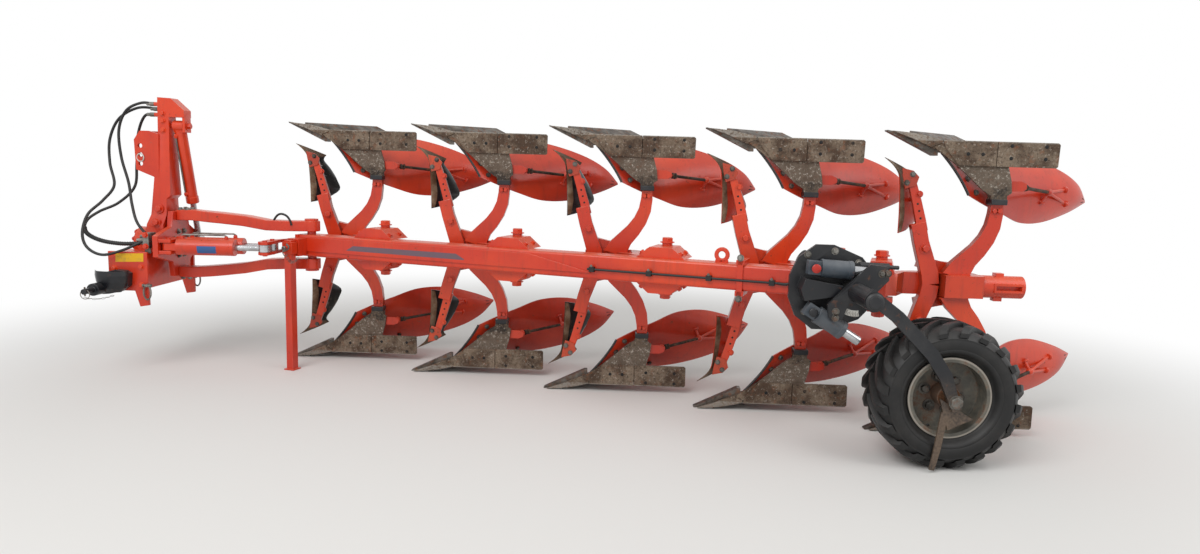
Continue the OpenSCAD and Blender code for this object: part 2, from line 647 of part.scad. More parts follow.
module front_pin() color(steel) placed() translate([front_pivot[0], front_pivot[1], axis_h]) {
  pin_reach = arm_seat + arm_t / 2;
  cylinder(r = front_pin_r, h = 2 * pin_reach + 30, center = true);
  for (up = [0, 1]) mirror([0, 0, up]) translate([0, 0, pin_reach + 0.3]) cylinder(r = front_pin_r + 16, h = 14);
}

// Width cylinders: barrels on the turning frame, rods to the eyes at the beam's front
eye_point = [[-730, -292], [-730, -176]];
function width_base(k) = [clevis_x[k] - head_x, clevis_y[k] + axis_y];
function width_vector(k) = eye_point[k] - width_base(k);
module along_width(k) placed() translate([width_base(k)[0], width_base(k)[1], axis_h])
  rotate([0, 0, atan2(width_vector(k)[1], width_vector(k)[0])]) rotate([0, 90, 0]) children();
width_barrel_len = 430;
module width_barrel(k) color(paint) along_width(k) difference() {
  union() {
    translate([0, 0, 60]) cylinder(r = width_cyl_r, h = width_barrel_len - 60);
    rotate([0, 90, 0]) cylinder(r = 38, h = clevis_gap - 6, center = true);
    translate([-(clevis_gap - 6) / 2, -38, 0]) cube([clevis_gap - 6, 76, 70]);
    rotate([0, 90, 0]) cylinder(r = cyl_pin_r, h = clevis_gap + 60, center = true);
  }
  translate([0, 0, 90]) cylinder(r = width_rod_r + cyl_fit, h = width_barrel_len);
}
module width_rod(k) color("silver") along_width(k) difference() {
  union() {
    translate([0, 0, 150]) cylinder(r = width_rod_r, h = norm(width_vector(k)) - 150 - 30);
    translate([0, 0, norm(width_vector(k))]) rotate([0, 90, 0]) cylinder(r = 40, h = 46, center = true);
  }
  translate([0, 0, norm(width_vector(k))]) rotate([0, 90, 0]) cylinder(r = cyl_pin_r + 5, h = 90, center = true);
}

// Stand: socket plate on the beam's front end and the post that swings up along the beam
stand_s = -543;
stand_n = beam_n - beam_side / 2 - 124;
stand_z = axis_h - 6;
lug_t = 20;
module stand_socket() color(paint) placed() {
  along_beam() {
    translate([-beam_front - 24, beam_n - beam_side / 2 - plate_t, axis_h - beam_side / 2])
      cube([23.7, beam_side + plate_t, beam_side]);
    translate([stand_s - 46, stand_n + stand_side / 2 + 5, stand_z - 60])
      cube([92, beam_n - beam_side / 2 - plate_t - 0.3 - stand_n - stand_side / 2 - 5, 120]);
    translate([stand_s, stand_n - stand_side / 2 - 24, stand_z]) rotate([-90, 0, 0])
      cylinder(r = stand_pin_r, h = stand_side + 34);
  }
  for (up = [0, 1]) translate([0, 0, axis_h]) mirror([0, 0, up]) translate([0, 0, 25])
    linear_extrude(lug_t) polygon([beam_point(-beam_front - 24, beam_n + 60), beam_point(-beam_front - 24, beam_n - 60),
      eye_point[1] + [38, 80], eye_point[0] + [38, 40], eye_point[0] + [30, -30], eye_point[0] + [-10, -42],
      eye_point[0] + [-42, -10], eye_point[1] + [-42, 30], eye_point[1] + [-10, 60]]);
  for (k = [0, 1]) translate([eye_point[k][0], eye_point[k][1], axis_h])
    cylinder(r = cyl_pin_r, h = 2 * (25 + lug_t) + 16, center = true);
}
module stand_leg() color(paint) placed() along_beam() difference() {
  union() {
    translate([stand_s - stand_side / 2, stand_n - stand_side / 2, 8])
      cube([stand_side, stand_side, stand_z + 52 - 8]);
    translate([stand_s - 40, stand_n - stand_side / 2 - 4, stand_z - 40]) cube([80, stand_side + 4, 80]);
    translate([stand_s - 40, stand_n - 40, 0]) cube([80, 80, 8.5]);
  }
  translate([stand_s, stand_n, stand_z]) rotate([90, 0, 0]) cylinder(r = stand_pin_r + pin_fit, h = 300, center = true);
}

// Depth wheel: pivot on the beam's near side, arm, stops, tyre and rim
wheel_x = 2900;
bracket_y = -1247;
wheel_y = -1497;
wheel_dx = 434;
wheel_dz = tyre_d / 2 - axis_h;
bracket_side = [[-325, -60], [-325, 60], [-284, 160], [-190, 232], [-90, 232], [60, 170], [130, 90],
                [130, -90], [60, -170], [-90, -232], [-190, -232], [-284, -160]];
stop_pin = [-215, 117];
stop_y = bracket_y - 78;
stop_pin_r = 18;
module at_wheel() placed() translate([wheel_x, 0, axis_h]) children();
beam_face = (beam_n - beam_side / 2 - 0.3) / cos(beam_angle);
function face_y(x) = beam_face - x * tan(beam_angle);
module wheel_bracket() color(dark) at_wheel() {
  xz_plate(bracket_side, bracket_y, bracket_t);
  translate([0, 0, -70]) linear_extrude(140) polygon([[-270, bracket_y + bracket_t - 1], [90, bracket_y + bracket_t - 1],
    [90, face_y(wheel_x + 90)], [-270, face_y(wheel_x - 270)]]);
  for (up = [0, 1]) mirror([0, 0, up]) translate([stop_pin[0], bracket_y + 2, stop_pin[1]]) rotate([90, 0, 0])
    cylinder(r = stop_pin_r, h = 132);
  xz_plate([[-262, -60], [-62, -26], [-62, 26], [-262, 60], [-284, 0]], bracket_y - 118, 120);
  rotate([90, 0, 0]) translate([0, 0, -bracket_y - 2]) cylinder(r = wheel_pin_r, h = 478);
}
bar_y = wheel_y - tyre_w / 2 - 14 - arm_bar_t;
module wheel_arm() color(dark) at_wheel() difference() {
  union() {
    translate([0, bar_y, 0]) rotate([-90, 0, 0]) cylinder(r = 50, h = bracket_y - 8 - bar_y);
    xz_plate(bar_outline([[-30, 40, arm_bar_w], [120, -70, arm_bar_w], [300, -250, arm_bar_w],
                          [wheel_dx - 60, wheel_dz + 130, arm_bar_w], [wheel_dx + 10, wheel_dz - 45, arm_bar_w - 20]]),
             bar_y, arm_bar_t);
    xz_plate([[60, 150], [150, 140], [160, 70], [60, -40], [-40, -60], [-70, -150], [-140, -140], [-150, -70],
              [-50, 40]], stop_y - stop_r - 32, 20);
    translate([wheel_dx, bar_y, wheel_dz]) rotate([-90, 0, 0]) cylinder(r = 25, h = 250);
    xz_plate([[wheel_dx - 70, wheel_dz + 10], [wheel_dx + 100, wheel_dz - 90], [wheel_dx - 20, wheel_dz - 150]],
             bar_y + arm_bar_t - 6, 12);
    xz_plate(bar_outline([[wheel_dx - 40, wheel_dz - 60, 34], [wheel_dx - 60, wheel_dz - 240, 34],
                          [wheel_dx - 80, -axis_h + 14, 26]]), bar_y + arm_bar_t - 6, 12);
  }
  rotate([90, 0, 0]) cylinder(r = wheel_pin_r + pin_fit, h = 4000, center = true);
}
stop_len = 306;
module stop_body() {
  difference() {
    union() {
      translate([0, 0, 34]) cylinder(r = stop_r, h = 170);
      translate([-30, -36, -36]) cube([60, 72, 80]);
      translate([0, 0, 200]) cylinder(r = 24, h = stop_len - 200);
    }
    rotate([0, 90, 0]) cylinder(r = stop_pin_r + cyl_fit, h = 200, center = true);
  }
}
stop_rest = -3;
stop_droop = -31;
module stop_upper() color(dark) at_wheel() translate([stop_pin[0], stop_y, stop_pin[1]])
  rotate([0, 90 - stop_rest, 0]) rotate([0, 0, 90]) stop_body();
module stop_lower() color(dark) at_wheel() translate([stop_pin[0], stop_y, -stop_pin[1]])
  rotate([0, 90 - stop_droop, 0]) rotate([0, 0, 90]) stop_body();

// Tyre: carcass turned about the axle, out to the lugs' tips
module at_axle() at_wheel() translate([wheel_dx, wheel_y, wheel_dz]) rotate([-90, 0, 0]) children();
half_tread = tyre_w / 2;
carcass_r = tyre_d / 2 - lug_h;
rim_half = 124;
tyre_profile = [[rim_d / 2 + 0.3, -rim_half], [rim_d / 2 + 17, -rim_half], [rim_d / 2 + 42, -half_tread + 6], [carcass_r - 90, -half_tread],
                [carcass_r - 34, -half_tread + 12], [carcass_r, -half_tread + 56],
                [carcass_r, half_tread - 56], [carcass_r - 34, half_tread - 12], [carcass_r - 90, half_tread],
                [rim_d / 2 + 42, half_tread - 6], [rim_d / 2 + 17, rim_half], [rim_d / 2 + 0.3, rim_half]];
lug_profile = [[carcass_r - 56, -half_tread + 10], [carcass_r - 20, -half_tread + 4], [tyre_d / 2 - 6, -half_tread + 30],
               [tyre_d / 2, -half_tread + 62], [tyre_d / 2, half_tread - 62], [tyre_d / 2 - 6, half_tread - 30],
               [carcass_r - 20, half_tread - 4], [carcass_r - 56, half_tread - 10]];
lug_slant = 42;
lug_len = 250;
module tyre() color("black") at_axle() {
  rotate_extrude($fn = 60) polygon(tyre_profile);
  intersection() {
    rotate_extrude($fn = 60) polygon(lug_profile);
    for (k = [0 : lugs - 1], side = [-1, 1]) rotate([0, 0, (k + side * 0.25) * 360 / lugs])
      translate([carcass_r + 10, 0, side * half_tread * 0.55]) rotate([side * lug_slant, 0, 0])
        cube([90, lug_w, lug_len], center = true);
  }
}
rim_wall = 10;
disc_y = -20;
module rim() color("gray") at_axle() difference() {
  union() {
    difference() {
      cylinder(r = rim_d / 2, h = 2 * rim_half, center = true, $fn = 72);
      translate([0, 0, -rim_half - 1]) cylinder(r = rim_d / 2 - rim_wall, h = 2 * rim_half + 2, $fn = 72);
    }
    for (side = [-1, 1]) translate([0, 0, side * (rim_half + 4) - 3.7]) difference() {
      cylinder(r = rim_d / 2 + 16, h = 7.4, $fn = 72);
      translate([0, 0, -1]) cylinder(r = rim_d / 2 - rim_wall, h = 10, $fn = 72);
    }
    translate([0, 0, disc_y]) cylinder(r = rim_d / 2 - rim_wall / 2, h = 12, $fn = 72);
    translate([0, 0, -120]) cylinder(r = 58, h = 160);
  }
  cylinder(r = 25 + pin_fit, h = 400, center = true);
}

// Hoses: tubes swept along their routes
function ring_dir(path, i) =
  i == 0 ? [-1, 0, 0] : i == len(path) - 1 ? [1, 0, 0] :
  let (d = path[i + 1] - path[i - 1]) d / norm(d);
function across(d) = let (c = cross(d, abs(d[1]) < 0.9 ? [0, 1, 0] : [1, 0, 0])) c / norm(c);
function ring(path, i, r, sides) =
  let (d = ring_dir(path, i), a = across(d), b = cross(d, a))
  [for (k = [0 : sides - 1]) path[i] + r * (cos(360 * k / sides) * a + sin(360 * k / sides) * b)];
module tube(path, r, sides) {
  n = len(path);
  points = [for (i = [0 : n - 1]) each ring(path, i, r, sides)];
  walls = [for (i = [0 : n - 2], k = [0 : sides - 1]) let (m = (k + 1) % sides)
    [i * sides + k, i * sides + m, (i + 1) * sides + m, (i + 1) * sides + k]];
  ends = [[for (k = [sides - 1 : -1 : 0]) k], [for (k = [0 : sides - 1]) (n - 1) * sides + k]];
  polyhedron(points, concat(walls, ends), convexity = 6);
}
function blend(a, b, c, d, t) =
  0.5 * ((2 * b) + (c - a) * t + (2 * a - 5 * b + 4 * c - d) * t * t + (3 * b - a - 3 * c + d) * t * t * t);
function smooth(p, steps) = concat(
  [for (i = [0 : len(p) - 2], t = [0 : steps - 1])
    blend(p[max(i - 1, 0)], p[i], p[i + 1], p[min(i + 2, len(p) - 1)], t / steps)],
  [p[len(p) - 1]]);
hose_sides = 8;
clamp_at = [-60, -240, 900];
function gland_at(k) = [gland_x, gland_y[k], gland_z[k]];
hose_route_1 = [gland_at(0), [-180, -30, 1805], [-280, -40, 1750], [-330, -50, 1620], [-310, -70, 1440],
                [-250, -100, 1270], [-210, -140, 1130], [-150, -190, 1010], clamp_at + [0, 20, 20]];
hose_route_2 = [gland_at(1), [-230, 20, 1775], [-360, 10, 1700], [-420, -10, 1560], [-410, -40, 1400],
                [-350, -100, 1250], [-370, -200, 1150], [-430, -270, 1060], [-440, -320, 940],
                [-400, -340, 850], [-300, -345, 805], [-180, -320, 835], clamp_at + [0, -20, 0]];
hose_route_3 = [gland_at(2), [-170, -10, 1720], [-240, 20, 1600], [-260, 20, 1400], [-270, 0, 1240],
                [-350, -60, 1130], [-450, -120, 1070], [-500, -180, 1010], [-480, -225, 940],
                [-380, -240, 890], [-230, -240, 870], clamp_at + [0, 0, -20]];
module hose_1() color("black") at_head() tube(smooth(hose_route_1, 3), hose_r, hose_sides);
module hose_2() color("black") at_head() tube(smooth(hose_route_2, 2), hose_r, hose_sides);
module hose_3() color("black") at_head() tube(smooth(hose_route_3, 2), hose_r, hose_sides);
module hose_clamp() color(steel) at_head() {
  translate(clamp_at + [0.3, -50, -50]) cube([40, 90, 100]);
  translate([clamp_at[0] + 0.3, clamp_at[1] - 30, base_high + 0.3]) cube([40, 12, 40]);
}

beam();
beam_plate();
pivot_brackets();
pivot_pins();
beam_pipe();
tail_tube();
wheel_bracket();
stand_socket();
stand_leg();
for (i = [1 : stations]) {
  carrier(i);
  skimmer_arms(i);
  skimmers(i);
  landsides(i);
  shares(i);
  mouldboards(i);
}
headstock_base();
mast();
hitch_arms();
hose_clamp();
hose_1();
hose_2();
hose_3();
turn_barrel();
turn_rod();
turn_frame();
swing_arms();
front_pin();
for (k = [0, 1]) {
  width_barrel(k);
  width_rod(k);
}
wheel_arm();
stop_upper();
stop_lower();
tyre();
rim();
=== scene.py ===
import json
from math import cos, pi, radians, sin, sqrt, tau

import bmesh
import bpy
from mathutils import Matrix, Vector


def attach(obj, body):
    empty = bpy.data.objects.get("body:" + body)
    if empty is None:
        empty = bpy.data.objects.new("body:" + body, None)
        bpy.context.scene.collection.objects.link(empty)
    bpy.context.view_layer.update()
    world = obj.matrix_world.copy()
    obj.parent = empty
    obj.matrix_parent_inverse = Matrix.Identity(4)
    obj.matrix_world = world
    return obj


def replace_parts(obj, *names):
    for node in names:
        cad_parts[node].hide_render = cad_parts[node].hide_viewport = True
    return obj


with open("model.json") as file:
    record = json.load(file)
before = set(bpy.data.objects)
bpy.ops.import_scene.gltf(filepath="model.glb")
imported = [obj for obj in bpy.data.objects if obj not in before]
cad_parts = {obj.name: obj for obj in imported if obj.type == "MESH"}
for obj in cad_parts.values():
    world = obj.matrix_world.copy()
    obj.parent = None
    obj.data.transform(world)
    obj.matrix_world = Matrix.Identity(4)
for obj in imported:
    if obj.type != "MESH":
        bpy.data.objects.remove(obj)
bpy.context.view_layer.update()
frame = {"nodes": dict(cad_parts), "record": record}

nodes = frame["nodes"]

# Places: the drawing's origin is the first body pivot on the ground, in millimetres, with X
# to the rear, Y to the plough's right and Z up. The headstock, the slanted beam, the depth
# wheel and each station have their own origins in it.
PLACE = Vector((-1372.7, 470.5, 0.0))
AXIS_H = 862.0
HEAD = Vector((-1434.0, -117.0, 0.0))
SLANT = radians(18.0)
PITCH = 1020.0
WHEEL_X = 2900.0


def spot(x, y, z):
    return (Vector((x, y, z)) + PLACE) / 1000.0


def head_spot(x, y, z):
    return spot(x + HEAD.x, y + HEAD.y, z)


def beam_spot(s, n, z):
    return spot(s * cos(SLANT) + n * sin(SLANT), n * cos(SLANT) - s * sin(SLANT), z)


def wheel_spot(x, y, z):
    return spot(x + WHEEL_X, y, z + AXIS_H)


def station_spot(station, x, y, z, row=0):
    """row 0 is the lower, right-hand row; row 1 is its mirror image above the beam."""
    s = (station - 1) * PITCH
    height = 2 * AXIS_H - z if row else z
    return spot(s * cos(SLANT) + x, y - s * sin(SLANT), height)


# Camera: stands on the landside of the plough, a little behind its middle and at eye
# height, tilted slightly down and rolled with the photographer's hand.
def in_scene(name, data):
    thing = bpy.data.objects.new(name, data)
    bpy.context.scene.collection.objects.link(thing)
    return thing


eye = spot(1666.0, -5654.0, 1490.0)
yaw, pitch, roll = -0.027, -0.138, 0.030
ahead = Vector((sin(yaw) * cos(pitch), cos(yaw) * cos(pitch), sin(pitch)))
level = Vector((cos(yaw), -sin(yaw), 0.0))
above = level.cross(ahead)
to_right = cos(roll) * level + sin(roll) * above
to_top = cos(roll) * above - sin(roll) * level
camera_data = bpy.data.cameras.new("camera")
camera_data.lens = 24.44
camera_data.sensor_width = 36.0
camera_data.clip_end = 200.0
camera = in_scene("camera", camera_data)
camera.matrix_world = Matrix((to_right, to_top, -ahead)).transposed().to_4x4()
camera.matrix_world.translation = eye
bpy.context.scene.camera = camera

# Hoses: three black rubber hydraulic hoses that arch from the glands on the mast's front
# and loop down to the clamp beside the turnover housing, crimped into steel ferrules at both
# ends; the lowest wears a ribbed guard.
HOSE_R = 0.009
CLAMP = (-60.0, -240.0, 900.0)
GLANDS = [(-92.0, -22.0, 1800.0), (-92.0, 22.0, 1770.0), (-92.0, -22.0, 1730.0)]
hose_routes = {
    "hose_1": [GLANDS[0], (-180, -30, 1805), (-280, -40, 1750), (-330, -50, 1620), (-310, -70, 1440),
               (-250, -100, 1270), (-210, -140, 1130), (-150, -190, 1010),
               (CLAMP[0], CLAMP[1] + 20, CLAMP[2] + 20)],
    "hose_2": [GLANDS[1], (-230, 20, 1775), (-360, 10, 1700), (-420, -10, 1560), (-410, -40, 1400),
               (-350, -100, 1250), (-370, -200, 1150), (-430, -270, 1060), (-440, -320, 940),
               (-400, -340, 850), (-300, -345, 805), (-180, -320, 835), (CLAMP[0], CLAMP[1] - 20, CLAMP[2])],
    "hose_3": [GLANDS[2], (-170, -10, 1720), (-240, 20, 1600), (-260, 20, 1400), (-270, 0, 1240),
               (-350, -60, 1130), (-450, -120, 1070), (-500, -180, 1010), (-480, -225, 940),
               (-380, -240, 890), (-230, -240, 870), (CLAMP[0], CLAMP[1], CLAMP[2] - 20)],
}


def blend(a, b, c, d, t):
    curve = (2 * a - 5 * b + 4 * c - d) * t * t + (3 * b - a - 3 * c + d) * t * t * t
    return 0.5 * (2 * b + (c - a) * t + curve)


def smooth_route(points, steps):
    """The same curve through the points as the drawing's, with more points on it."""
    p = [Vector(q) for q in points]
    out = []
    for i in range(len(p) - 1):
        near = p[max(i - 1, 0)], p[i], p[i + 1], p[min(i + 2, len(p) - 1)]
        out += [blend(*near, k / steps) for k in range(steps)]
    return out + [p[-1]]


def route_length(points):
    return sum((b - a).length for a, b in zip(points, points[1:]))


def colour(code):
    """A hex colour as the shader wants it."""
    channels = [int(code[i:i + 2], 16) / 255 for i in (0, 2, 4)]
    return tuple(c / 12.92 if c < 0.04045 else ((c + 0.055) / 1.055) ** 2.4 for c in channels) + (1.0,)


def maths(operation):
    """A method of Amount that adds a Math node."""
    return lambda amount, *others: amount.nodes.node(
        "ShaderNodeMath", {"operation": operation}, dict(enumerate((amount, *others))))


class Amount:
    """A value of a node. Sums and products of it add Math nodes."""

    def __init__(self, nodes, socket):
        self.nodes, self.socket = nodes, socket

    __add__ = __radd__ = maths("ADD")
    __mul__ = __rmul__ = maths("MULTIPLY")
    __sub__, __truediv__ = maths("SUBTRACT"), maths("DIVIDE")
    size, root = maths("ABSOLUTE"), maths("SQRT")
    over, under = maths("MAXIMUM"), maths("MINIMUM")

    def __rsub__(self, other):
        return self.nodes.node("ShaderNodeMath", {"operation": "SUBTRACT"}, {0: other, 1: self})

    def step(self, low, high):
        """0 below low and 1 above high, with a soft change between."""
        return self.nodes.node("ShaderNodeMapRange", {"interpolation_type": "SMOOTHSTEP"},
                               {"Value": self, "From Min": low, "From Max": high})


class Nodes:
    """A node tree, and how nodes are added to it."""

    def __init__(self, tree):
        self.tree = tree

    def node(self, kind, settings=None, inputs=None, out=0):
        node = self.tree.nodes.new(kind)
        for key, value in (settings or {}).items():
            setattr(node, key, value)
        for key, value in (inputs or {}).items():
            self.feed(node.inputs[key], value)
        return Amount(self, node.outputs[out])

    def feed(self, socket, value):
        """Links a node's value to a socket or sets the socket; a colour is given by its hex code."""
        if isinstance(value, Amount):
            self.tree.links.new(value.socket, socket)
        else:
            socket.default_value = colour(value) if socket.type == "RGBA" else value


class Finish(Nodes):
    """One surface finish: a material and its nodes, with the noises shifted by at."""

    def __init__(self, name, at=(0, 0, 0)):
        self.material = bpy.data.materials.new(name)
        self.material.use_nodes = True
        super().__init__(self.material.node_tree)
        self.shader = self.tree.nodes["Principled BSDF"]
        self.place = self.node("ShaderNodeTexCoord", out="Object")
        self.at = Vector(at)

    def noise(self, scale, detail, rough, shift=(0, 0, 0), stretch=(1, 1, 1)):
        at = self.node("ShaderNodeMapping", {}, {"Vector": self.place, "Location": self.at + Vector(shift),
                                                 "Scale": stretch})
        return self.node("ShaderNodeTexNoise", {}, {"Vector": at, "Scale": scale, "Detail": detail,
                                                    "Roughness": rough})

    def mix(self, share, first, second):
        """A colour that goes from first to second with share."""
        return self.node("ShaderNodeMix", {"data_type": "RGBA"}, {0: share, 6: first, 7: second}, out=2)

    def height(self):
        return self.node("ShaderNodeSeparateXYZ", {}, {0: self.place}, out="Z")

    def facing(self, axis="Z"):
        normal = self.node("ShaderNodeTexCoord", out="Normal")
        return self.node("ShaderNodeSeparateXYZ", {}, {0: normal}, out=axis)

    def set(self, **inputs):
        names = {"base": "Base Color", "rough": "Roughness", "metal": "Metallic", "coat": "Coat Weight",
                 "coat_rough": "Coat Roughness"}
        for key, value in inputs.items():
            self.feed(self.shader.inputs[names[key]], value)

    def bump(self, height, distance, strength):
        bumped = self.node("ShaderNodeBump", {}, {"Height": height, "Distance": distance,
                                                  "Strength": strength}, out="Normal")
        self.feed(self.shader.inputs["Normal"], bumped)
        return self.material


def rubber(name, tone, dust, dust_share, grain):
    finish = Finish(name)
    patches = finish.noise(9.0, 5.0, 0.6)
    fine = finish.noise(grain, 3.0, 0.5)
    upper = finish.facing().step(-0.2, 0.9)
    dusty = (patches.step(0.42, 0.68) * 0.6 + upper * 0.4) * dust_share
    finish.set(base=finish.mix(dusty, tone, dust), rough=0.44 + dusty * 0.35 + fine * 0.08)
    return finish.bump(fine, 0.0006, 0.5)


def worn_steel(name, light, dark, rust_share, rough=0.42, seed=0.0):
    finish = Finish(name, (seed, seed, seed))
    mix, noise = finish.mix, finish.noise
    cloud = noise(14.0, 5.0, 0.6)
    grain = noise(150.0, 4.0, 0.6)
    tone = mix(cloud.step(0.3, 0.7), light, dark)
    rust = noise(30.0, 6.0, 0.7).step(0.50, 0.64) * rust_share
    tone = mix(rust, tone, mix(grain, "4a2a1b", "8f5c3a"))
    finish.set(base=tone, metal=0.85 - rust, rough=(rough + grain * 0.15 + rust * 0.4).under(0.95))
    return finish.bump(grain * 0.4 + rust * 0.4, 0.0008, 0.5)


hose_rubber = rubber("hose_rubber", "0a0b0c", "4f4a45", 0.3, 900.0)
zinc = worn_steel("zinc_steel", "9a9892", "5c5954", 0.3)


def net(shape, rows, slot=0):
    """Joins rows of a shape's corners by four-sided faces."""
    for near, far in zip(rows, rows[1:]):
        for k in range(len(near) - 1):
            shape.faces.new((near[k], near[k + 1], far[k + 1], far[k])).material_index = slot


def skin(shape, rings, capped=True):
    """Joins rings of points into a closed surface. Uncapped, the last ring meets the first."""
    rows = [[shape.verts.new(point) for point in ring] for ring in rings]
    net(shape, [row + row[:1] for row in (rows if capped else rows + rows[:1])])
    if capped:
        shape.faces.new(rows[0])
        shape.faces.new(rows[-1])


def circle(centre, first, second, radius, sides):
    turns = (tau * k / sides for k in range(sides))
    return [centre + radius * (cos(a) * first + sin(a) * second) for a in turns]


def square_to(axis, side=None):
    """A unit axis and two directions square to it."""
    axis = Vector(axis).normalized()
    first = Vector(side).normalized() if side else axis.orthogonal().normalized()
    return axis, first, axis.cross(first)


def swept_tube(shape, points, radius, sides=16, first=None, last=None):
    """A closed round tube along points. radius may be one number or one for each point."""
    rings, normal, ends = [], None, {0: first, len(points) - 1: last}
    for i, point in enumerate(points):
        ahead, behind = points[min(i + 1, len(points) - 1)], points[max(i - 1, 0)]
        along = Vector(ends.get(i) or ahead - behind).normalized()
        if normal is None:
            normal = along.orthogonal().normalized()
        normal = (normal - along * normal.dot(along)).normalized()
        r = radius[i] if isinstance(radius, list) else radius
        rings.append(circle(point, normal, along.cross(normal), r, sides))
    skin(shape, rings)


def turned(shape, base, axis, profile, sides=28):
    """A closed turned body: profile holds (distance along the axis, radius) pairs in millimetres."""
    axis, first, second = square_to(axis)
    skin(shape, [circle(base + axis * h / 1000, first, second, r / 1000, sides) for h, r in profile])


def hoop(shape, centre, axis, radius, wire, sides=24, wire_sides=10, stretch=(1.0, 1.0), side=None):
    """A closed ring of round wire, in millimetres; stretch makes it a chain link."""
    axis, first, second = square_to(axis, side)
    rings = []
    for out in circle(Vector(), first * stretch[0], second * stretch[1], radius / 1000, sides):
        rings.append(circle(centre + out, out.normalized(), axis, wire / 1000, wire_sides))
    skin(shape, rings, capped=False)


def flat_plate(shape, corners, thick):
    """A closed plate: a flat outline and its copy moved by thick."""
    skin(shape, [corners, [corner + Vector(thick) for corner in corners]])


def block(shape, low, high, place):
    """A rectangular bar between two corners, given in one of the places' own millimetres."""
    (x0, y0, z0), (x1, y1, z1) = low, high
    corners = [place(x0, y0, z0), place(x1, y0, z0), place(x1, y1, z0), place(x0, y1, z0)]
    flat_plate(shape, corners, place(x0, y0, z1) - place(x0, y0, z0))


# The shape that is being built; to_piece empties it for the next one.
shape = bmesh.new()
bodies = frame["record"]["behaviour"]["bodies"]
body_of = {name: body for body, names in bodies.items() for name in names}


def to_piece(shape, name, material, body, bevel=0.0, angle=35):
    """Makes a shape a piece that rides on a body, with its sharp edges rounded, and empties it."""
    mesh = bpy.data.meshes.new(name)
    bmesh.ops.recalc_face_normals(shape, faces=shape.faces)
    shape.to_mesh(mesh)
    shape.clear()
    mesh.materials.append(material)
    mesh.shade_smooth()
    mesh.set_sharp_from_angle(angle=radians(angle))
    piece = in_scene(name, mesh)
    if bevel:
        rounding = piece.modifiers.new("rounding", "BEVEL")
        rounding.width, rounding.segments = bevel / 1000, 2
        rounding.limit_method, rounding.angle_limit = "ANGLE", radians(40)
    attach(piece, body)
    return piece


def soften(name, material, bevel):
    """Puts the drawing's own shape in the place of a node, with its edges rounded off."""
    shape.from_mesh(nodes[name].data)
    bmesh.ops.remove_doubles(shape, verts=shape.verts, dist=0.00002)
    bmesh.ops.dissolve_limit(shape, angle_limit=radians(0.6), verts=shape.verts, edges=shape.edges)
    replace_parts(to_piece(shape, name + "_finished", material, body_of[name], bevel), name)


FERRULE = [(0.3, 13), (2, 14.5), (30, 14.5), (32, 13), (36, 13), (38, 11.5), (52, 11.5), (54, 9.6)]
for name, corners in hose_routes.items():
    route = [head_spot(*p) for p in smooth_route(corners, 10)]
    for at in (route[0], route[-1]):
        turned(shape, at, (-1, 0, 0), FERRULE, 20)
    fittings = [to_piece(shape, name + "_ferrules", zinc, "headstock")]
    if name == "hose_3":
        sleeve = smooth_route(corners, 44)[-44 * 3 - 20:-16]
        ribs = [0.0145 if k % 4 < 2 else 0.0122 for k in range(len(sleeve))]
        swept_tube(shape, [head_spot(*p) for p in sleeve], ribs, 14)
        fittings.append(to_piece(shape, "hose_guard", hose_rubber, "headstock"))
    swept_tube(shape, route, HOSE_R, 16, (-1, 0, 0), (1, 0, 0))
    piece = to_piece(shape, name + "_rubber", hose_rubber, "headstock")
    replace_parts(piece, name)
    route_length(route)


# Headstock base: the welded box across the front that the tractor's lower links carry, with
# end plates and the turnover housing. Painted orange, muddy and chipped, with a blank yellow
# patch, a shackle pinned to the foot of each end plate and bolts around the housing.
def orange_paint(name, mud, fade_and_sheen, seed, red="c62c0e", bright="e04214", chip=0.0, rear=0.0):
    finish = Finish(name, (seed, seed * 0.7, -seed))
    mix, noise = finish.mix, finish.noise
    cloud = noise(1.6, 4.0, 0.6)
    grain = noise(60.0, 5.0, 0.62)
    fine = noise(420.0, 3.0, 0.6)
    tone = mix(cloud.step(0.35, 0.7), red, bright)
    # Faded paint and a painted sky reflection: faces that look up turn pale pink.
    faded_and_sky_sheen = finish.facing().step(0.3, 1.0) * (0.55 + grain * 0.5) * fade_and_sheen
    tone = mix(faded_and_sky_sheen, tone, "e0805c")
    streak = noise(34.0, 4.0, 0.6, stretch=(1.0, 1.0, 0.12))
    tone = mix(streak.step(0.5, 0.74) * 0.28, tone, "86301c")
    smear = noise(3.2, 5.0, 0.62, (2.2, 0, 0))
    tone = mix(smear.step(0.52, 0.75) * 0.22, tone, "9c3d24")
    # Painted shade: faces that look forwards or back are darkened to brown.
    if rear:
        shade = finish.facing("X").size().step(0.45, 0.85) * (0.4 + grain * 0.6) * rear
        tone = mix(shade, tone, "4e2a1c")
    spots = noise(24.0, 6.0, 0.7, (3.1, 0, 0)).step(0.64 - chip, 0.70 - chip)
    chips = noise(95.0, 4.0, 0.65, (7.7, 0, 0)).step(0.67 - chip, 0.70 - chip)
    rust = (spots * grain.step(0.42, 0.58) + chips * 0.8).under(1.0)
    tone = mix(rust * 0.85, tone, mix(fine, "3d2117", "7a4a30"))
    soil = 0.0
    if mud:
        patch = noise(7.0, 6.0, 0.66, (1.3, 0, 0))
        soil = (patch + grain * 0.35).step(0.92 - 0.30 * mud, 1.02 - 0.22 * mud)
        tone = mix(soil * 0.85, tone, mix(grain, "4b3d30", "857463"))
    finish.set(base=tone, rough=(0.30 + faded_and_sky_sheen * 0.2 + rust * 0.45 + soil * 0.5 + cloud * 0.1).under(0.95),
               coat=(0.25 - soil * 0.25 - rust * 0.25).over(0.0), coat_rough=0.22)
    return finish.bump(grain * 0.25 + fine * 0.15 + soil * 0.9 - rust * 0.35, 0.0012, 0.6)


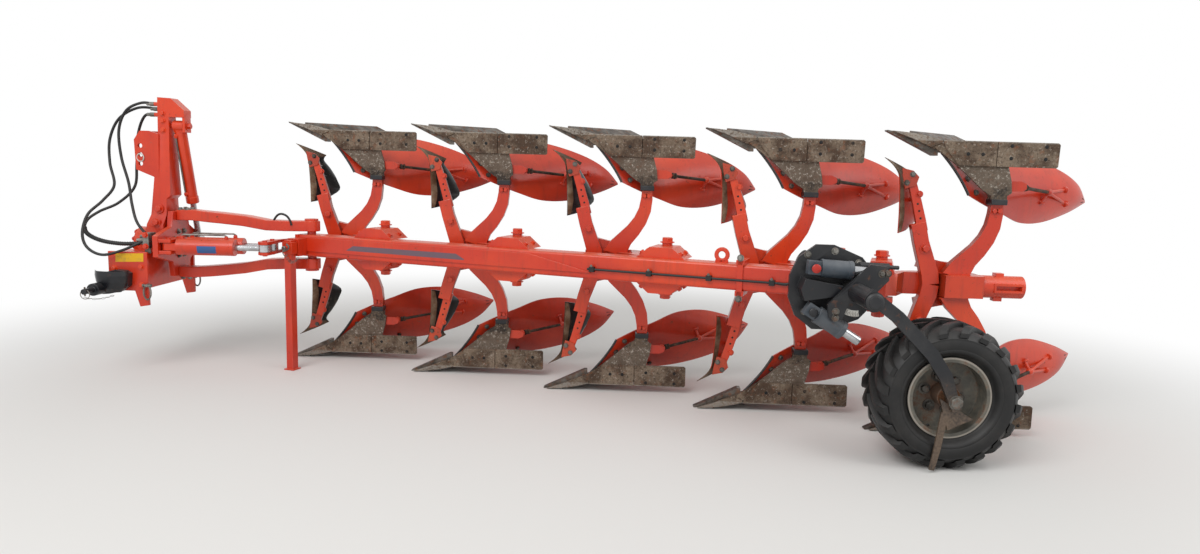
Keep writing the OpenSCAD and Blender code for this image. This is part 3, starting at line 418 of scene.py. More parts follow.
def dark_paint(name, tone="111318", dust="5f5d5b", share=0.36, seed=0.0, rust_share=0.4, foot=0.0):
    finish = Finish(name, (seed, -seed, seed * 0.5))
    mix, noise = finish.mix, finish.noise
    cloud = noise(5.0, 5.0, 0.6)
    grain = noise(80.0, 5.0, 0.6)
    up = finish.facing().step(-0.1, 0.95)
    dusty = (cloud.step(0.42, 0.7) * 0.5 + up * 0.5) * share
    tones = mix(dusty, tone, dust)
    rust = noise(18.0, 6.0, 0.7).step(0.60, 0.68) * rust_share
    tones = mix(rust, tones, mix(grain, "4a2a1b", "8a5636"))
    if foot:
        low = (1.0 - finish.height().step(0.25, 0.55)) * (cloud + grain * 0.4).step(0.45, 0.85) * foot
        tones = mix(low, tones, mix(grain, "4c3a2c", "7d6a58"))
    finish.set(base=tones, rough=0.34 + dusty * 0.4 + rust * 0.3)
    return finish.bump(grain * 0.4 + rust * 0.5, 0.001, 0.5)


def plain(name, code, rough, dirt):
    """A sticker, a plastic piece, or the painted shade inside a hole or slot, with a film of dirt."""
    finish = Finish(name)
    film = finish.noise(26.0, 6.0, 0.68).step(0.48, 0.72) * dirt
    finish.set(base=finish.mix(film, code, "6a5a4c"), rough=rough + film * 0.3)
    return finish.material


heads = {}


def bolt(body, kind, at, aim):
    """Notes a bolt head or nut: where it stands, which way it points and what it rides on."""
    heads.setdefault((body, kind), []).append((at, Vector(aim)))


LEFT = (0, -1, 0)
frame_paint = orange_paint("frame_paint", 0.25, 0.3, 0.0)
anthracite = dark_paint("anthracite")
# Painted shade: the dark inside of holes and slots is drawn in this near-black; the scale's printed ticks
# share it.
hole_shade_and_print = plain("hole_shade_and_print", "0d0c0c", 0.8, 0.5)
yellow_patch = plain("yellow_patch", "e2ae0c", 0.4, 0.4)
soften("headstock_base", frame_paint, 3)

flat_plate(shape, [head_spot(x, -300.2, z) for x, z in ((-238, 811), (-52, 817), (-54, 762), (-241, 755))],
           (0, -0.0005, 0))
to_piece(shape, "yellow_patch", yellow_patch, "headstock")
for x, z in ((-250, 713), (-71, 726), (-250, 600), (-71, 606)):
    for side in (-1, 1):
        bolt("headstock", "small", head_spot(x, side * 300, z), (0, side, 0))
for side, hand in ((-1, "left"), (1, "right")):
    hoop(shape, head_spot(-28, side * 316, 560), (0, 1, 0), 24, 6, 28, 10, (1.0, 2.0), (1, 0, 0))
    turned(shape, head_spot(-58, side * 316, 606), (1, 0, 0),
           [(0, 9), (2, 11), (10, 11), (11, 7), (50, 7), (51, 11), (58, 11), (60, 9)], 16)
    turned(shape, head_spot(-28, side * 299, 606), (0, side, 0), [(0, 12), (12, 12), (24, 9)], 16)
    to_piece(shape, "shackle_" + hand, zinc, "headstock")


CIRCLE_R = 88


def bolt_circle(body, x, count, lead, out):
    """Bolts around the turnover axis, aimed forwards or rearwards by out."""
    for k in range(count):
        a = radians(360 / count * k + lead)
        bolt(body, "small", head_spot(x, CIRCLE_R * cos(a), AXIS_H + CIRCLE_R * sin(a)), (out, 0, 0))


bolt_circle("headstock", -235, 10, 18, -1)

# Mast: a tall box that tapers to a narrow top, with cheeks and three holes for the top link;
# painted like the base. A ring hangs in the link's middle hole and glands stand on its front.
soften("mast", frame_paint, 3)
white_plastic = plain("white_plastic", "c9c7c0", 0.5, 0.3)
hoop(shape, head_spot(-182, -66, 1440), (0.15, 1, 0), 26, 4, 28)
to_piece(shape, "link_ring", white_plastic, "headstock")
for kind, x, half, z in (("big", -58, 126, 1008), ("big", -58, 82, 1100), ("small", -28, 46, 1628),
                         ("small", -28, 46, 1690), ("small", -28, 46, 1740)):
    for side in (-1, 1):
        bolt("headstock", kind, head_spot(x, side * half, z), (0, side, 0))
bolt("headstock", "big", head_spot(118, 0, 1660), (1, 0, 0))

# Hitch arms: thick anthracite plates with a curved guard in front that carry the lower link
# pins; each pin is held by a sprung ring pin on a short chain.
soften("hitch_arms", anthracite, 4)


def ribbon(shape, first, second, thick):
    """A closed strip between two lines of points, thickened by a vector."""
    skin(shape, [[a, b, b + thick, a + thick] for a, b in zip(first, second)])


GUARD_PLAN = [(-130, 351, 0), (-142, 376, 0), (-190, 402, 0), (-250, 408, 0), (-310, 396, 0), (-350, 351, 0)]
GUARD_LEVELS = [(704, 1.00), (672, 1.03), (630, 0.97), (590, 0.80), (562, 0.50)]
for side, hand in ((-1, "left"), (1, "right")):
    lines = [[head_spot(-236 + (p.x + 236) * reach, side * (350 + (p.y - 350) * reach), z)
              for p in smooth_route(GUARD_PLAN, 6)] for z, reach in GUARD_LEVELS]
    for first, second in zip(lines, lines[1:]):
        ribbon(shape, first, second, Vector((0, -side * 0.006, 0)))
    to_piece(shape, "hitch_guard_" + hand, anthracite, "headstock")
    hoop(shape, head_spot(-300, side * 535, 572), (0, 1, 0), 30, 2.6, 28, 8)
    turned(shape, head_spot(-300, side * 535, 560), (0, 0, 1), [(0, 3), (2, 5.5), (58, 5.5), (60, 3)], 14)
    for k in range(7):
        hoop(shape, head_spot(-300 + 16 * k, side * (533 - 20 * k), 548 - 13 * sin(k * 0.5)),
             (0, 0, 1) if k % 2 else (0, 1, 0), 7, 1.8, 14, 6, (1.7, 1.0), (0.6, -side * 0.75, 0))
    to_piece(shape, "ring_pin_" + hand, zinc, "headstock")

# Hose clamp: a block of zinc-plated steel beside the turnover housing in which the three
# hoses end, held by two screws.
soften("hose_clamp", zinc, 2)
for z in (862, 938):
    bolt("headstock", "small", head_spot(-40, -290, z), LEFT)

# Turnover cylinder: painted barrel with a gland and a steel feed pipe down its side, and a
# chromed rod to the crank's pin.
chrome = worn_steel("chromed_rod", "c9cbcd", "a9abad", 0.03, 0.14, 4.0)
soften("turn_barrel", frame_paint, 2)
soften("turn_rod", chrome, 2)
turn_top = head_spot(62, 0, 1660)
turn_down = (head_spot(62, 200, AXIS_H) - turn_top).normalized()
turn_side = Vector((-0.35, -0.94, 0)).normalized()
turn_side = (turn_side - turn_down * turn_side.dot(turn_down)).normalized()


def turn_spot(down, off):
    return turn_top + (turn_down * down + turn_side * off) / 1000


turned(shape, turn_top, turn_down, [(496, 38.3), (498, 42), (538, 42), (543, 38), (543.4, 24)], 32)
for d in (62, 470):
    turned(shape, turn_spot(d, 30), turn_side, [(0, 13), (14, 13), (15, 11), (22, 11)], 18)
    turned(shape, turn_spot(d - 14, 47), turn_down, [(0, 7), (2, 9), (26, 9), (28, 7)], 6)
to_piece(shape, "turn_gland", frame_paint, "turnover_cylinder", 0.8)
swept_tube(shape, [turn_spot(d, 47) for d in (62, 120, 240, 360, 470)], 0.0052, 14)
to_piece(shape, "turn_pipe", zinc, "turnover_cylinder")

# Turning frame and swing arms: the web plate bolted to the shaft and the two S-shaped arms
# that carry the beam's front pivot; the arms' tops are faded, with a painted sky sheen, and scratched.
soften("turn_frame", frame_paint, 3)
bolt_circle("turning_frame", 41, 8, 22, 1)
beam_paint = orange_paint("beam_paint", 0.0, 0.4, 5.0, "ca2f10", "e24616")
soften("swing_arms", beam_paint, 4)
soften("front_pin", beam_paint, 2)
arch = [(655, 62, 1000), (664, 64, 1030), (690, 66, 1068), (720, 68, 1079), (756, 70, 1064), (778, 72, 1030),
        (786, 72, 1000)]
swept_tube(shape, [head_spot(*p) for p in smooth_route(arch, 6)], 0.0075, 14)
to_piece(shape, "arm_hose", hose_rubber, "turning_frame")
for up in (-1, 1):
    for x, y in ((62, -32), (62, 32), (110, -32), (110, 32)):
        bolt("turning_frame", "small", head_spot(x, y, AXIS_H + up * (196 + 36)), (0, 0, up))

# Width cylinders: two fat painted barrels side by side with glands, a steel pipe along the
# top and a blank blue patch on their side, and chromed rods.
blue_patch = plain("blue_patch", "2d5a94", 0.4, 0.4)
WIDTH_GLAND = [(384, 50), (384.4, 55.7), (392, 55.7), (394, 54.2), (400, 54.2), (402, 55.7), (424, 55.7),
               (430, 51), (430.4, 23)]
UP = Vector((0, 0, 1))
for k, (base_x, base_y, rod_y) in enumerate(((86, -238, -292), (92, -120, -176)), 1):
    body = "width_barrel_%d" % k
    soften(body, frame_paint, 2)
    soften("width_rod_%d" % k, chrome, 2)
    base = head_spot(base_x, base_y, AXIS_H)
    along_rod = (spot(-730, rod_y, AXIS_H) - base).normalized()
    across_rod = UP.cross(along_rod)
    turned(shape, base, along_rod, WIDTH_GLAND, 40)
    for d in (88, 372):
        foot = base + along_rod * d / 1000 + UP * 0.05
        turned(shape, foot, UP, [(0, 13), (16, 13), (17, 11), (24, 11)], 18)
    to_piece(shape, "width_gland_%d" % k, frame_paint, body, 0.8)
    swept_tube(shape, [base + (along_rod * d + UP * z) / 1000 for d, z in (
        (88, 60), (88, 76), (96, 81), (220, 81), (360, 81), (372, 76), (372, 60))], 0.0055, 12)
    to_piece(shape, "width_pipe_%d" % k, zinc, body)
    turns = [radians(a) for a in range(-42, 13, 6)]
    lines = [[base + along_rod * d / 1000 + 0.0552 * (sin(a) * UP - cos(a) * across_rod)
              for a in turns] for d in (200, 322)]
    ribbon(shape, *lines, -across_rod * 0.0006)
    to_piece(shape, "width_patch_%d" % k, blue_patch, body)

# Beam: a square welded tube with a doubling plate at its front, on whose face lies a blank
# mauve decal; a steel strap, a lifting eye and trapezoid pivot brackets are bolted to it, and
# a pipe along its side ends in a rubber bend.
for name, bevel in (("beam", 3), ("beam_plate", 2), ("pivot_brackets", 3), ("pivot_pins", 2)):
    soften(name, beam_paint, bevel)
soften("stand_socket", frame_paint, 3)
soften("tail_tube", orange_paint("tail_paint", 0.1, 0.3, 21.0), 2)
soften("beam_pipe", hose_rubber, 2)
NEAR = Vector((-sin(SLANT), -cos(SLANT), 0))
ALONG = Vector((cos(SLANT), -sin(SLANT), 0))
decal_mauve = plain("decal_mauve", "6a5460", 0.35, 0.45)
flat_plate(shape, [beam_spot(s, -220.2, z) for s, z in
                   ((-168, 850), (-110, 884), (684, 884), (744, 852), (744, 846))],
           NEAR * 0.0005)
to_piece(shape, "beam_decal", decal_mauve, "main_frame")
for low, high in (((2518, -222, 732), (2552, -210.2, 992)), ((2510, -222, 937.2), (2560, -62, 966)),
                  ((2510, -222, 758), (2560, -62, 786.8))):
    block(shape, low, high, beam_spot)
to_piece(shape, "beam_strap", beam_paint, "main_frame", 2)
for z in (742, 980):
    bolt("main_frame", "small", beam_spot(2535, -222, z), NEAR)


def revolved(shape, base, axis, loop, sides=32):
    """A closed ring: a closed outline of (distance along the axis, radius) pairs turned about it."""
    axis, first, second = square_to(axis)
    skin(shape, [[base + (axis * h + r * out) / 1000 for h, r in loop]
                 for out in circle(Vector(), first, second, 1.0, sides)], capped=False)


revolved(shape, beam_spot(2410, -135, 982), NEAR,
         [(-9, 24), (-6, 21), (6, 21), (9, 24), (9, 42), (6, 45), (-6, 45), (-9, 42)], 36)
block(shape, (2372, -144, 936), (2448, -126, 952), beam_spot)
to_piece(shape, "lifting_eye", beam_paint, "main_frame", 1.5)
bend = [(2756, -224, 850), (2800, -225, 849), (2846, -228, 872), (2852, -230, 916), (2848, -228, 966),
        (2862, -214, 1012), (2888, -180, 1036), (2900, -148, 1000), (2893, -135, 938)]
swept_tube(shape, [beam_spot(*p) for p in smooth_route(bend, 8)], 0.0085, 14)
to_piece(shape, "pipe_bend", hose_rubber, "main_frame")
for k in range(4):
    bolt("main_frame", "tiny", beam_spot(1630 + 363 * k, -236, 872), NEAR)
LAST_PIVOT = 3296
for s in [PITCH * k for k in range(4)] + [LAST_PIVOT]:
    for up in (-1, 1):
        bolt("main_frame", "pivot", beam_spot(s, 0, AXIS_H + up * 159), (0, 0, up))
        for slope, n in ((-1, -125), (-1, -10), (1, -125), (1, -10)) if s < LAST_PIVOT else ():
            bolt("main_frame", "plate", beam_spot(s + slope * 118, n, AXIS_H + up * 101.4),
                 ALONG * slope * 0.636 + Vector((0, 0, up * 0.772)))

# Stand: a square post with a foot, pinned in its socket; the pin has a handle and a ring
# clip on a chain.
soften("stand_leg", orange_paint("stand_paint", 0.3, 0.3, 25.0), 3)
turned(shape, beam_spot(-543, -385, 856), NEAR, [(0, 14), (4, 17), (12, 17), (16, 12)], 24)
swept_tube(shape, [beam_spot(-543 + 34 * sin(t) + 10 * t, -396 - 4 * t, 836 + 18 * t)
                   for t in (0, 0.5, 1, 1.5, 2.2, 3)], 0.006, 12)
hoop(shape, beam_spot(-543, -378, 830), ALONG, 26, 2.6, 28, 8)
for k in range(8):
    hoop(shape, beam_spot(-540 + 9 * k, -380 + 6 * k, 800 - 40 * sin(k * pi / 8)),
         NEAR if k % 2 else ALONG, 6.5, 1.8, 14, 6, (1.6, 1.0), (0.5, 0, 0.8))
to_piece(shape, "stand_clip", zinc, "stand")


# Carriers and skimmer arms: cast legs that reach down from the body pivots with a black
# collar at the foot, and bolted arms for the skimmers; orange and muddy, front and back faces in painted
# shade.
leg_paint = orange_paint("leg_paint", 0.2, 0.3, 9.0, "c73010", "e04717", 0.01, 0.75)
rusty_paint = orange_paint("rusty_paint", 0.45, 0.2, 31.0, "a83318", "c8461f", 0.07)
LAND_Y, FROG_Y, FROG_FACE, SKIM_Y = 205.0, 219.0, 237.0, 293.0


def row_place(station, row):
    """The place function of one row of a station."""
    return lambda x, y, z: station_spot(station, x, y, z, row)


for i in range(1, 6):
    body = "station_%d" % i
    soften("carrier_%d" % i, leg_paint, 4)
    soften("skimmer_arms_%d" % i, leg_paint, 3)
    collar, holes = bmesh.new(), bmesh.new()
    for row in (0, 1):
        at = row_place(i, row)
        block(collar, (-174, 214, 365), (-86, 290, 396), at)
        bolt(body, "big", at(-500, 268, 656), LEFT)
        for x, y, z in ((-551, 280, 350), (-118, 240, 430), (-146, 240, 430)):
            bolt(body, "small", at(x, y, z), LEFT)
        rear_pair = ((-150, 200), (-230, 270)) if i < 5 else ((-300, 330), (-240, 330))
        for x, y in rear_pair + ((-430, 350), (-480, 350)):
            bolt(body, "small", at(x, y, AXIS_H - 63), (0, 0, 1 if row else -1))
        # Painted shade: near-black discs stand for the holes in the skimmer arm's bar and in the landside.
        for x, z in ((-523, 530), (-534, 486), (-545, 445), (-556, 405)):
            turned(holes, at(x, 279.9, z), LEFT, [(0, 6.4), (0.5, 6.2)], 20)
        for x, z in ((-95, 70), (-95, 138), (92, 70), (92, 138), (-250, 120), (-330, 120)):
            turned(holes, at(x, LAND_Y - 0.1, z), LEFT, [(0, 10.4), (0.6, 9.4)], 20)
    to_piece(collar, "leg_collars_%d" % i, anthracite, body, 3)
    to_piece(holes, "bolt_hole_shades_%d" % i, hole_shade_and_print, body)


# Skimmers: small boards with a worn steel edge bolted to the arms' ends by a rusty bracket;
# black on the first three stations, painted on the last two, bare and brown at the point.
def line_point(points, t):
    p = [Vector(q) for q in points]
    i = min(int(t), len(p) - 2)
    return blend(p[max(i - 1, 0)], p[i], p[i + 1], p[min(i + 2, len(p) - 1)], t - i)


skim_lead = [(-752, 0, 150), (-701, 0, 192), (-668, 0, 240), (-658, 0, 300), (-652, 0, 390), (-648, 0, 480),
             (-647, 0, 576)]
skim_trail = [(-566, 112, 230), (-580, 96, 266), (-548, 128, 322), (-520, 142, 372), (-500, 148, 416),
              (-483, 148, 486), (-565, 94, 552)]
SKIM_NEAR = SKIM_Y + 19.6


def skim_point(u, v):
    a, b = line_point(skim_lead, v * 6), line_point(skim_trail, v * 6)
    return a.lerp(b, u) + Vector((8 * 4 * u * (1 - u), SKIM_NEAR - 16 * 4 * u * (1 - u) * u, 0))


def sheet(shape, point, nu, nv, thick, place, front_slot=0):
    """A closed curved sheet: point(u, v), from 0 to 1, gives its front, moved by thick for its back."""
    front, back = [[[shape.verts.new(place(*(point(iu / nu, iv / nv) + move))) for iv in range(nv + 1)]
                    for iu in range(nu + 1)] for move in (Vector(), Vector(thick))]
    net(shape, front, front_slot)
    net(shape, back)
    for end in (0, -1):
        net(shape, (front[end], back[end]))
        net(shape, [[row[end] for row in rows] for rows in (front, back)])


def worn_foot(finish, tone, low, high):
    """Mixes bare brown steel into a tone where both rows lie far from the beam."""
    level = (finish.height() - AXIS_H / 1000).size()
    edge = finish.noise(20.0, 5.0, 0.7) * 0.05 - 0.025
    bare = (level + edge).step(low, high)
    grain = finish.noise(90.0, 5.0, 0.65, (0, 1, 0))
    return bare, finish.mix(bare, tone, finish.mix(grain, "3a2b22", "86705c"))


def skimmer_finish(name, code, dirty, coat):
    finish = Finish(name)
    cloud = finish.noise(8.0, 5.0, 0.6)
    grain = finish.noise(110.0, 4.0, 0.6)
    soil = (cloud + grain * 0.3).step(0.70, 0.88) * dirty
    bare, tone = worn_foot(finish, finish.mix(soil, code, "6c5c4c"), 0.612, 0.628)
    finish.set(base=tone, rough=(0.32 + soil * 0.5 + bare * 0.35).under(0.95), coat=coat)
    return finish.bump(grain * 0.3 + soil * 0.8 + bare * 0.4, 0.0015, 0.5)


board_black = skimmer_finish("board_black", "101114", 0.6, 0.15)
board_red = skimmer_finish("board_red", "b83014", 0.35, 0.1)
strip_rust = worn_steel("strip_rust", "9c8a74", "6a4d38", 0.5, 0.55, 6.0)
BRACKET = ((-652, 258), (-636, 322), (-576, 304), (-562, 254), (-596, 220), (-660, 206))


def edge_strip(u, v):
    return skim_point(0.19 * u, 0.04 + 0.94 * v) + Vector((3, -6.1, 0))


for i in range(1, 6):
    body = "station_%d" % i
    boards, strips, brackets = bmesh.new(), bmesh.new(), bmesh.new()
    for row in (0, 1):
        at = row_place(i, row)
        sheet(boards, skim_point, 12, 24, (3, -6, 0), at)
        sheet(strips, edge_strip, 3, 24, (0, -1.6, 0), at)
        for u, v in ((0.52, 0.42), (0.56, 0.62)):
            q = skim_point(u, v)
            foot = Vector((q.x + 3, SKIM_Y + 13.4, q.z))
            reach = (q - foot).length - 3
            turned(boards, at(*foot), at(q.x, q.y - 2, q.z) - at(*foot), [(0, 11), (reach, 11)], 16)
        flat_plate(brackets, [at(x, 279.8, z) for x, z in BRACKET], (0, -0.009, 0))
        for x, z in ((-630, 288), (-600, 240)):
            bolt(body, "rusty", at(x, 271, z), LEFT)
    paint = board_black if i < 4 else board_red
    piece = to_piece(boards, "skimmer_boards_%d" % i, paint, body, angle=50)
    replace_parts(piece, "skimmers_%d" % i)
    to_piece(strips, "skimmer_edges_%d" % i, strip_rust, body, angle=50)
    to_piece(brackets, "skimmer_brackets_%d" % i, rusty_paint, body, 2)


# Landsides and frogs: long plates against the furrow wall under a skin of dried soil, with
# rust where it has fallen off, and above them the pale rough casting that carries the board.
def furrow_skin(name):
    finish = Finish(name)
    mix, noise = finish.mix, finish.noise
    cloud = noise(9.0, 6.0, 0.65)
    grain = noise(70.0, 6.0, 0.7)
    fine = noise(380.0, 4.0, 0.65)
    soil = mix(cloud.step(0.36, 0.64), "4a382a", "80705f")
    soil = mix(grain.step(0.48, 0.66) * 0.75, soil, "32251c")
    rust = noise(22.0, 5.0, 0.7, (5, 0, 0)).step(0.55, 0.66)
    soil = mix(rust * 0.5, soil, "7d4a2c")
    level = (finish.height() - AXIS_H / 1000).size()
    flecks = noise(60.0, 6.0, 0.75, (9, 0, 0))
    cast = mix((cloud + grain * 0.4).step(0.55, 0.85), "594b3f", "85786a")
    cast = mix(rust * 0.5, cast, "6b4a36")
    cast = mix((grain * 0.6 + cloud * 0.5).step(0.50, 0.62) * 0.7, cast, "473a2f")
    cast = mix(flecks.step(0.53, 0.66) * 0.62, cast, "b4ada1")
    shade = mix((grain * 0.5 + cloud * 0.5).step(0.42, 0.6), "27231f", "6b5c4d")
    rim = noise(14.0, 4.0, 0.6) * 0.012
    ragged = noise(17.0, 6.0, 0.7, (2, 0, 0)) * 0.11
    tone = mix((level + rim).step(0.678, 0.690), cast, soil)
    tone = mix((1.0 - (level + ragged).step(0.606, 0.622)) * 0.9, tone, shade)
    tone = mix(flecks.step(0.57, 0.64) * 0.5, tone, "b9b0a4")
    rub = level.step(0.805, 0.812) * grain.step(0.35, 0.55)
    tone = mix(rub * 0.6, tone, "a7a29a")
    finish.set(base=tone, rough=0.80 + fine * 0.14 - rub * 0.35, metal=rub * 0.6)
    return finish.bump(grain * 0.8 + fine * 0.4 + cloud * 0.5, 0.003, 0.7)


furrow_steel = furrow_skin("furrow_skin")
share_steel = worn_steel("share_steel", "7b756e", "443d37", 0.75, 0.4, 2.0)
NOSE = ((-748, 4), (-690, 8), (-600, 18), (-530, 33), (-469.5, 49), (-469.5, 62), (-520.5, 83), (-508, 98),
        (-570, 72), (-640, 42), (-700, 22))
for i in range(1, 6):
    soften("landsides_%d" % i, furrow_steel, 2.5)
    soften("shares_%d" % i, share_steel, 2)
    for row in (0, 1):
        flat_plate(shape, [station_spot(i, x, 214, z, row) for x, z in NOSE], (0, 0.022, 0))
    to_piece(shape, "share_noses_%d" % i, furrow_steel, "station_%d" % i, 1.5)

# Mouldboards: pressed and twisted steel boards, scoured bare in front and painted behind, with
# a dark bar down the shin, bolts, and slots drawn as painted shade; held by a stay from the frog
# that ends in a star of three arms.
board_paint = orange_paint("board_paint", 0.25, 0.2, 13.0, "b92a12", "d8401c", 0.008)
scoured = worn_steel("scoured_steel", "a29b92", "827970", 0.28, 0.32, 17.0)
rod_steel = worn_steel("rod_steel", "5a504a", "33291f", 0.8, 0.6, 19.0)
shin_steel = dark_paint("shin_steel", "1d1d20", "5e5348", 0.5, 8.0, 0.3)
SHARE_FRONT = Vector((-480, FROG_FACE + 0.4, 118))
seam_at = SHARE_FRONT + Vector((0.4, -0.4, 0.4))
seam = Vector((-120, FROG_Y + 391, 74)) - SHARE_FRONT
board_low = [seam_at + seam * share for share in (0.03, 0.5, 1.0)] + [
    Vector((x, FROG_Y + y, z)) for x, y, z in
    ((130, 421, 104), (380, 449, 178), (545, 493, 268), (640, 561, 372))]
board_top = [Vector((x, FROG_Y + y, z)) for x, y, z in
             ((-300, 27, 346), (-182, 81, 400), (-50, 136, 452), (110, 251, 505), (300, 381, 503),
              (500, 486, 447), (642, 563, 384))]
BOARD_THICK = Vector((4, -8, 0))
STAR = Vector((272, FROG_Y + 272, 322))


def board_point(u, v):
    """On the board's front: u runs from shin to tail and v from share to top, 0 to 1."""
    t = 6 * u
    low = board_low[0].lerp(board_low[2], t / 2) if t < 2 else line_point(board_low, t)
    dip = 4 * v * (1 - v) * sin(pi * u)
    shin = 48 * (1 - u) * v * (1 - v)
    at = low.lerp(line_point(board_top, t), v) + Vector((20 * dip + shin, -60 * dip, 0))
    return at - Vector((2 * max(at.x, 0) / 642, 0, 0))


def board_out(u, v):
    """Direction square to the board, towards its front."""
    here = board_point(u, v)
    out = (board_point(u + 0.01, v) - here).cross(board_point(u, v + 0.01) - here).normalized()
    return -out if out.y > 0 else out


def rod(shape, start, end, radius, sides=16):
    turned(shape, start, end - start, [(0, radius), ((end - start).length * 1000, radius)], sides)


STAY_FOOT = ((-84, 262), (-74, 318), (-4, 318), (22, 300), (20, 276), (-10, 262))
BALL = [(22 - 22 * cos(a), max(22 * sin(a), 0.5)) for a in (pi * k / 10 for k in range(11))]
for i in range(1, 6):
    body = "station_%d" % i
    boards, shins, slots, rods = bmesh.new(), bmesh.new(), bmesh.new(), bmesh.new()
    for row in (0, 1):
        at = row_place(i, row)
        sheet(boards, board_point, 42, 18, BOARD_THICK, at, 1)
        flat_plate(boards, [at(x, FROG_FACE + 0.4, z) for x, z in STAY_FOOT], (0, 0.012, 0))
        turned(boards, at(6, FROG_FACE + 12, 294), (0, 1, 0), [(-0.4, 20), (1.6, 22), (32, 22), (34, 20)], 28)
        eye_side, hub = at(6, FROG_FACE + 32, 294), at(*STAR)
        rod(rods, eye_side, hub, 10)
        down = (hub - eye_side).normalized()
        for d in (26, 48):
            turned(rods, eye_side + down * d / 1000, down, [(0, 17), (2, 19.5), (13, 19.5), (15, 17)], 6)
        turned(boards, hub - down * 0.022, down, BALL, 20)
        for t, v in ((3.5, 0.66), (4.3, 0.36), (4.5, 0.66)):
            q = board_point(t / 6, v) + BOARD_THICK * 0.6
            rod(boards, hub, at(*q), 9)
            turned(boards, at(*(q + BOARD_THICK * 0.4)), hub - at(*q), [(-2, 20), (5, 20), (9, 13)], 20)
        edge = [at(*(board_point(0.004, k / 14) + Vector((3, -9, 0)))) for k in range(15)]
        swept_tube(shins, edge, 0.0075, 12)
        for u, v in ((0.07, 0.30), (0.07, 0.58), (0.10, 0.84), (0.22, 0.16), (0.36, 0.12), (0.22, 0.72)):
            out, seat = board_out(u, v), board_point(u, v) + BOARD_THICK
            bolt(body, "plow", at(*seat), (out.x, out.y, -out.z if row else out.z))
        # Painted shade: thin near-black sheets stand for two slots near the board's tail.
        for v in (0.36, 0.62):
            sheet(slots, lambda a, b: board_point(0.905 + 0.035 * a, v + 0.05 * b) + BOARD_THICK * 1.005,
                  3, 2, (0.3, -0.8, 0), at)
    piece = to_piece(boards, "mouldboard_pair_%d" % i, board_paint, body, angle=40)
    piece.data.materials.append(scoured)
    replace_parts(piece, "mouldboards_%d" % i)
    to_piece(shins, "shin_bars_%d" % i, shin_steel, body)
    to_piece(rods, "stay_rods_%d" % i, rod_steel, body)
    to_piece(slots, "board_slot_shades_%d" % i, hole_shade_and_print, body, angle=60)

# Depth wheel bracket, arm and stops: anthracite plates and tubes, dusty and chipped, with
# chromed stop rods, a red pin head, a white scale on the arm and nuts on the shafts.
soften("wheel_bracket", anthracite, 3)
soften("wheel_arm", dark_paint("arm_paint", seed=2.0, foot=0.9), 3)
stop_paint = dark_paint("stop_paint", "3a434c", "8a8c8e", 0.5, 4.0, 0.3)
soften("stop_upper", stop_paint, 2)
soften("stop_lower", stop_paint, 2)
red_plain = plain("red_knob", "b3271a", 0.35, 0.2)
for name, height, toward in (("upper", 117, (0.9986, 0, -0.0523)), ("lower", -117, (0.857, 0, -0.515))):
    base = wheel_spot(-215, -1325, height)
    turned(shape, base, toward, [(205, 24.3), (208, 25.2), (303, 25.2), (307.5, 22)], 32)
    to_piece(shape, "stop_rod_" + name, chrome, "stop_" + name)
    turned(shape, base, toward, [(176, 48.2), (178, 50.5), (200, 50.5), (205.5, 44), (206, 25)], 36)
    turned(shape, base, toward, [(33.5, 46), (36, 49.5), (44, 49.5), (46, 48)], 36)
    to_piece(shape, "stop_gland_" + name, stop_paint, "stop_" + name)
    turned(shape, wheel_spot(-215, -1376.5, height), LEFT, [(0, 22), (3, 24), (11, 24), (15, 18)], 24)
    to_piece(shape, "stop_pin_head_" + name, red_plain if height > 0 else anthracite, "main_frame")
turned(shape, wheel_spot(36, -1269, 127), (1, 0, -0.02),
       [(0, 18), (3, 21), (160, 21), (164, 12), (166, 11), (212, 11), (214, 9)], 26)
turned(shape, wheel_spot(30, -1268, 127), (0, 1, 0), [(-20, 16), (22, 16)], 20)
to_piece(shape, "arm_damper", anthracite, "main_frame")


def arc_strip(shape, inner, outer, y, thick, turns):
    """A strip between two circles about the arm's shaft."""
    lines = [[wheel_spot(r * cos(a), y, r * sin(a)) for a in turns] for r in (inner, outer)]
    ribbon(shape, *lines, Vector((0, thick, 0)))


for name, inner, outer, y, thick, turns, material in (
        ("scale_plate", 46, 134, -1384.8, 0.006, range(-130, -70, 6), anthracite),
        ("scale_strip", 98, 130, -1385.0, -0.0008, range(-116, -76, 4), white_plastic)):
    arc_strip(shape, inner, outer, y, thick, [radians(a) for a in turns])
    to_piece(shape, name, material, "wheel_arm")
for k in range(9):
    a = radians(-112 + 4 * k)
    arc_strip(shape, 112 if k % 2 else 104, 128, -1385.85, -0.0004, (a - 0.006, a + 0.006))
to_piece(shape, "scale_ticks", hole_shade_and_print, "wheel_arm")
turned(shape, wheel_spot(0, -1705.5, 0), LEFT, [(0, 43), (3, 46), (8, 46), (12, 38), (14, 35)], 36)
to_piece(shape, "shaft_cap", anthracite, "wheel_arm")
bolt("wheel_arm", "axle", wheel_spot(434, -1706, -487), LEFT)
for x, z in ((120, 104), (150, 106), (-106, -104), (-106, -138)):
    bolt("wheel_arm", "small", wheel_spot(x, -1405, z), LEFT)
for x, z in ((-235, 176.4), (-90, 200), (40, 140), (100, 60), (100, -60), (40, -140), (-90, -200),
             (-235, -135)):
    bolt("main_frame", "small", wheel_spot(x, -1247, z), LEFT)

# Tyre: a wide flotation tyre of dusty black rubber, seated on the rim; a ribbed carcass with
# twenty slanting bars on each side of the tread.
tyre_rubber = rubber("tyre_rubber", "040405", "4d4945", 0.22, 260.0)
AXLE = wheel_spot(434, -1497, -487)
TYRE_R, BAR_R, SHOULDER, BARS = 375.0, 361, 161, 20


def tyre_spot(r, turn, a):
    """A point by its radius, its angle about the axle and its distance along it."""
    return AXLE + Vector((r * cos(turn), a, -r * sin(turn))) / 1000


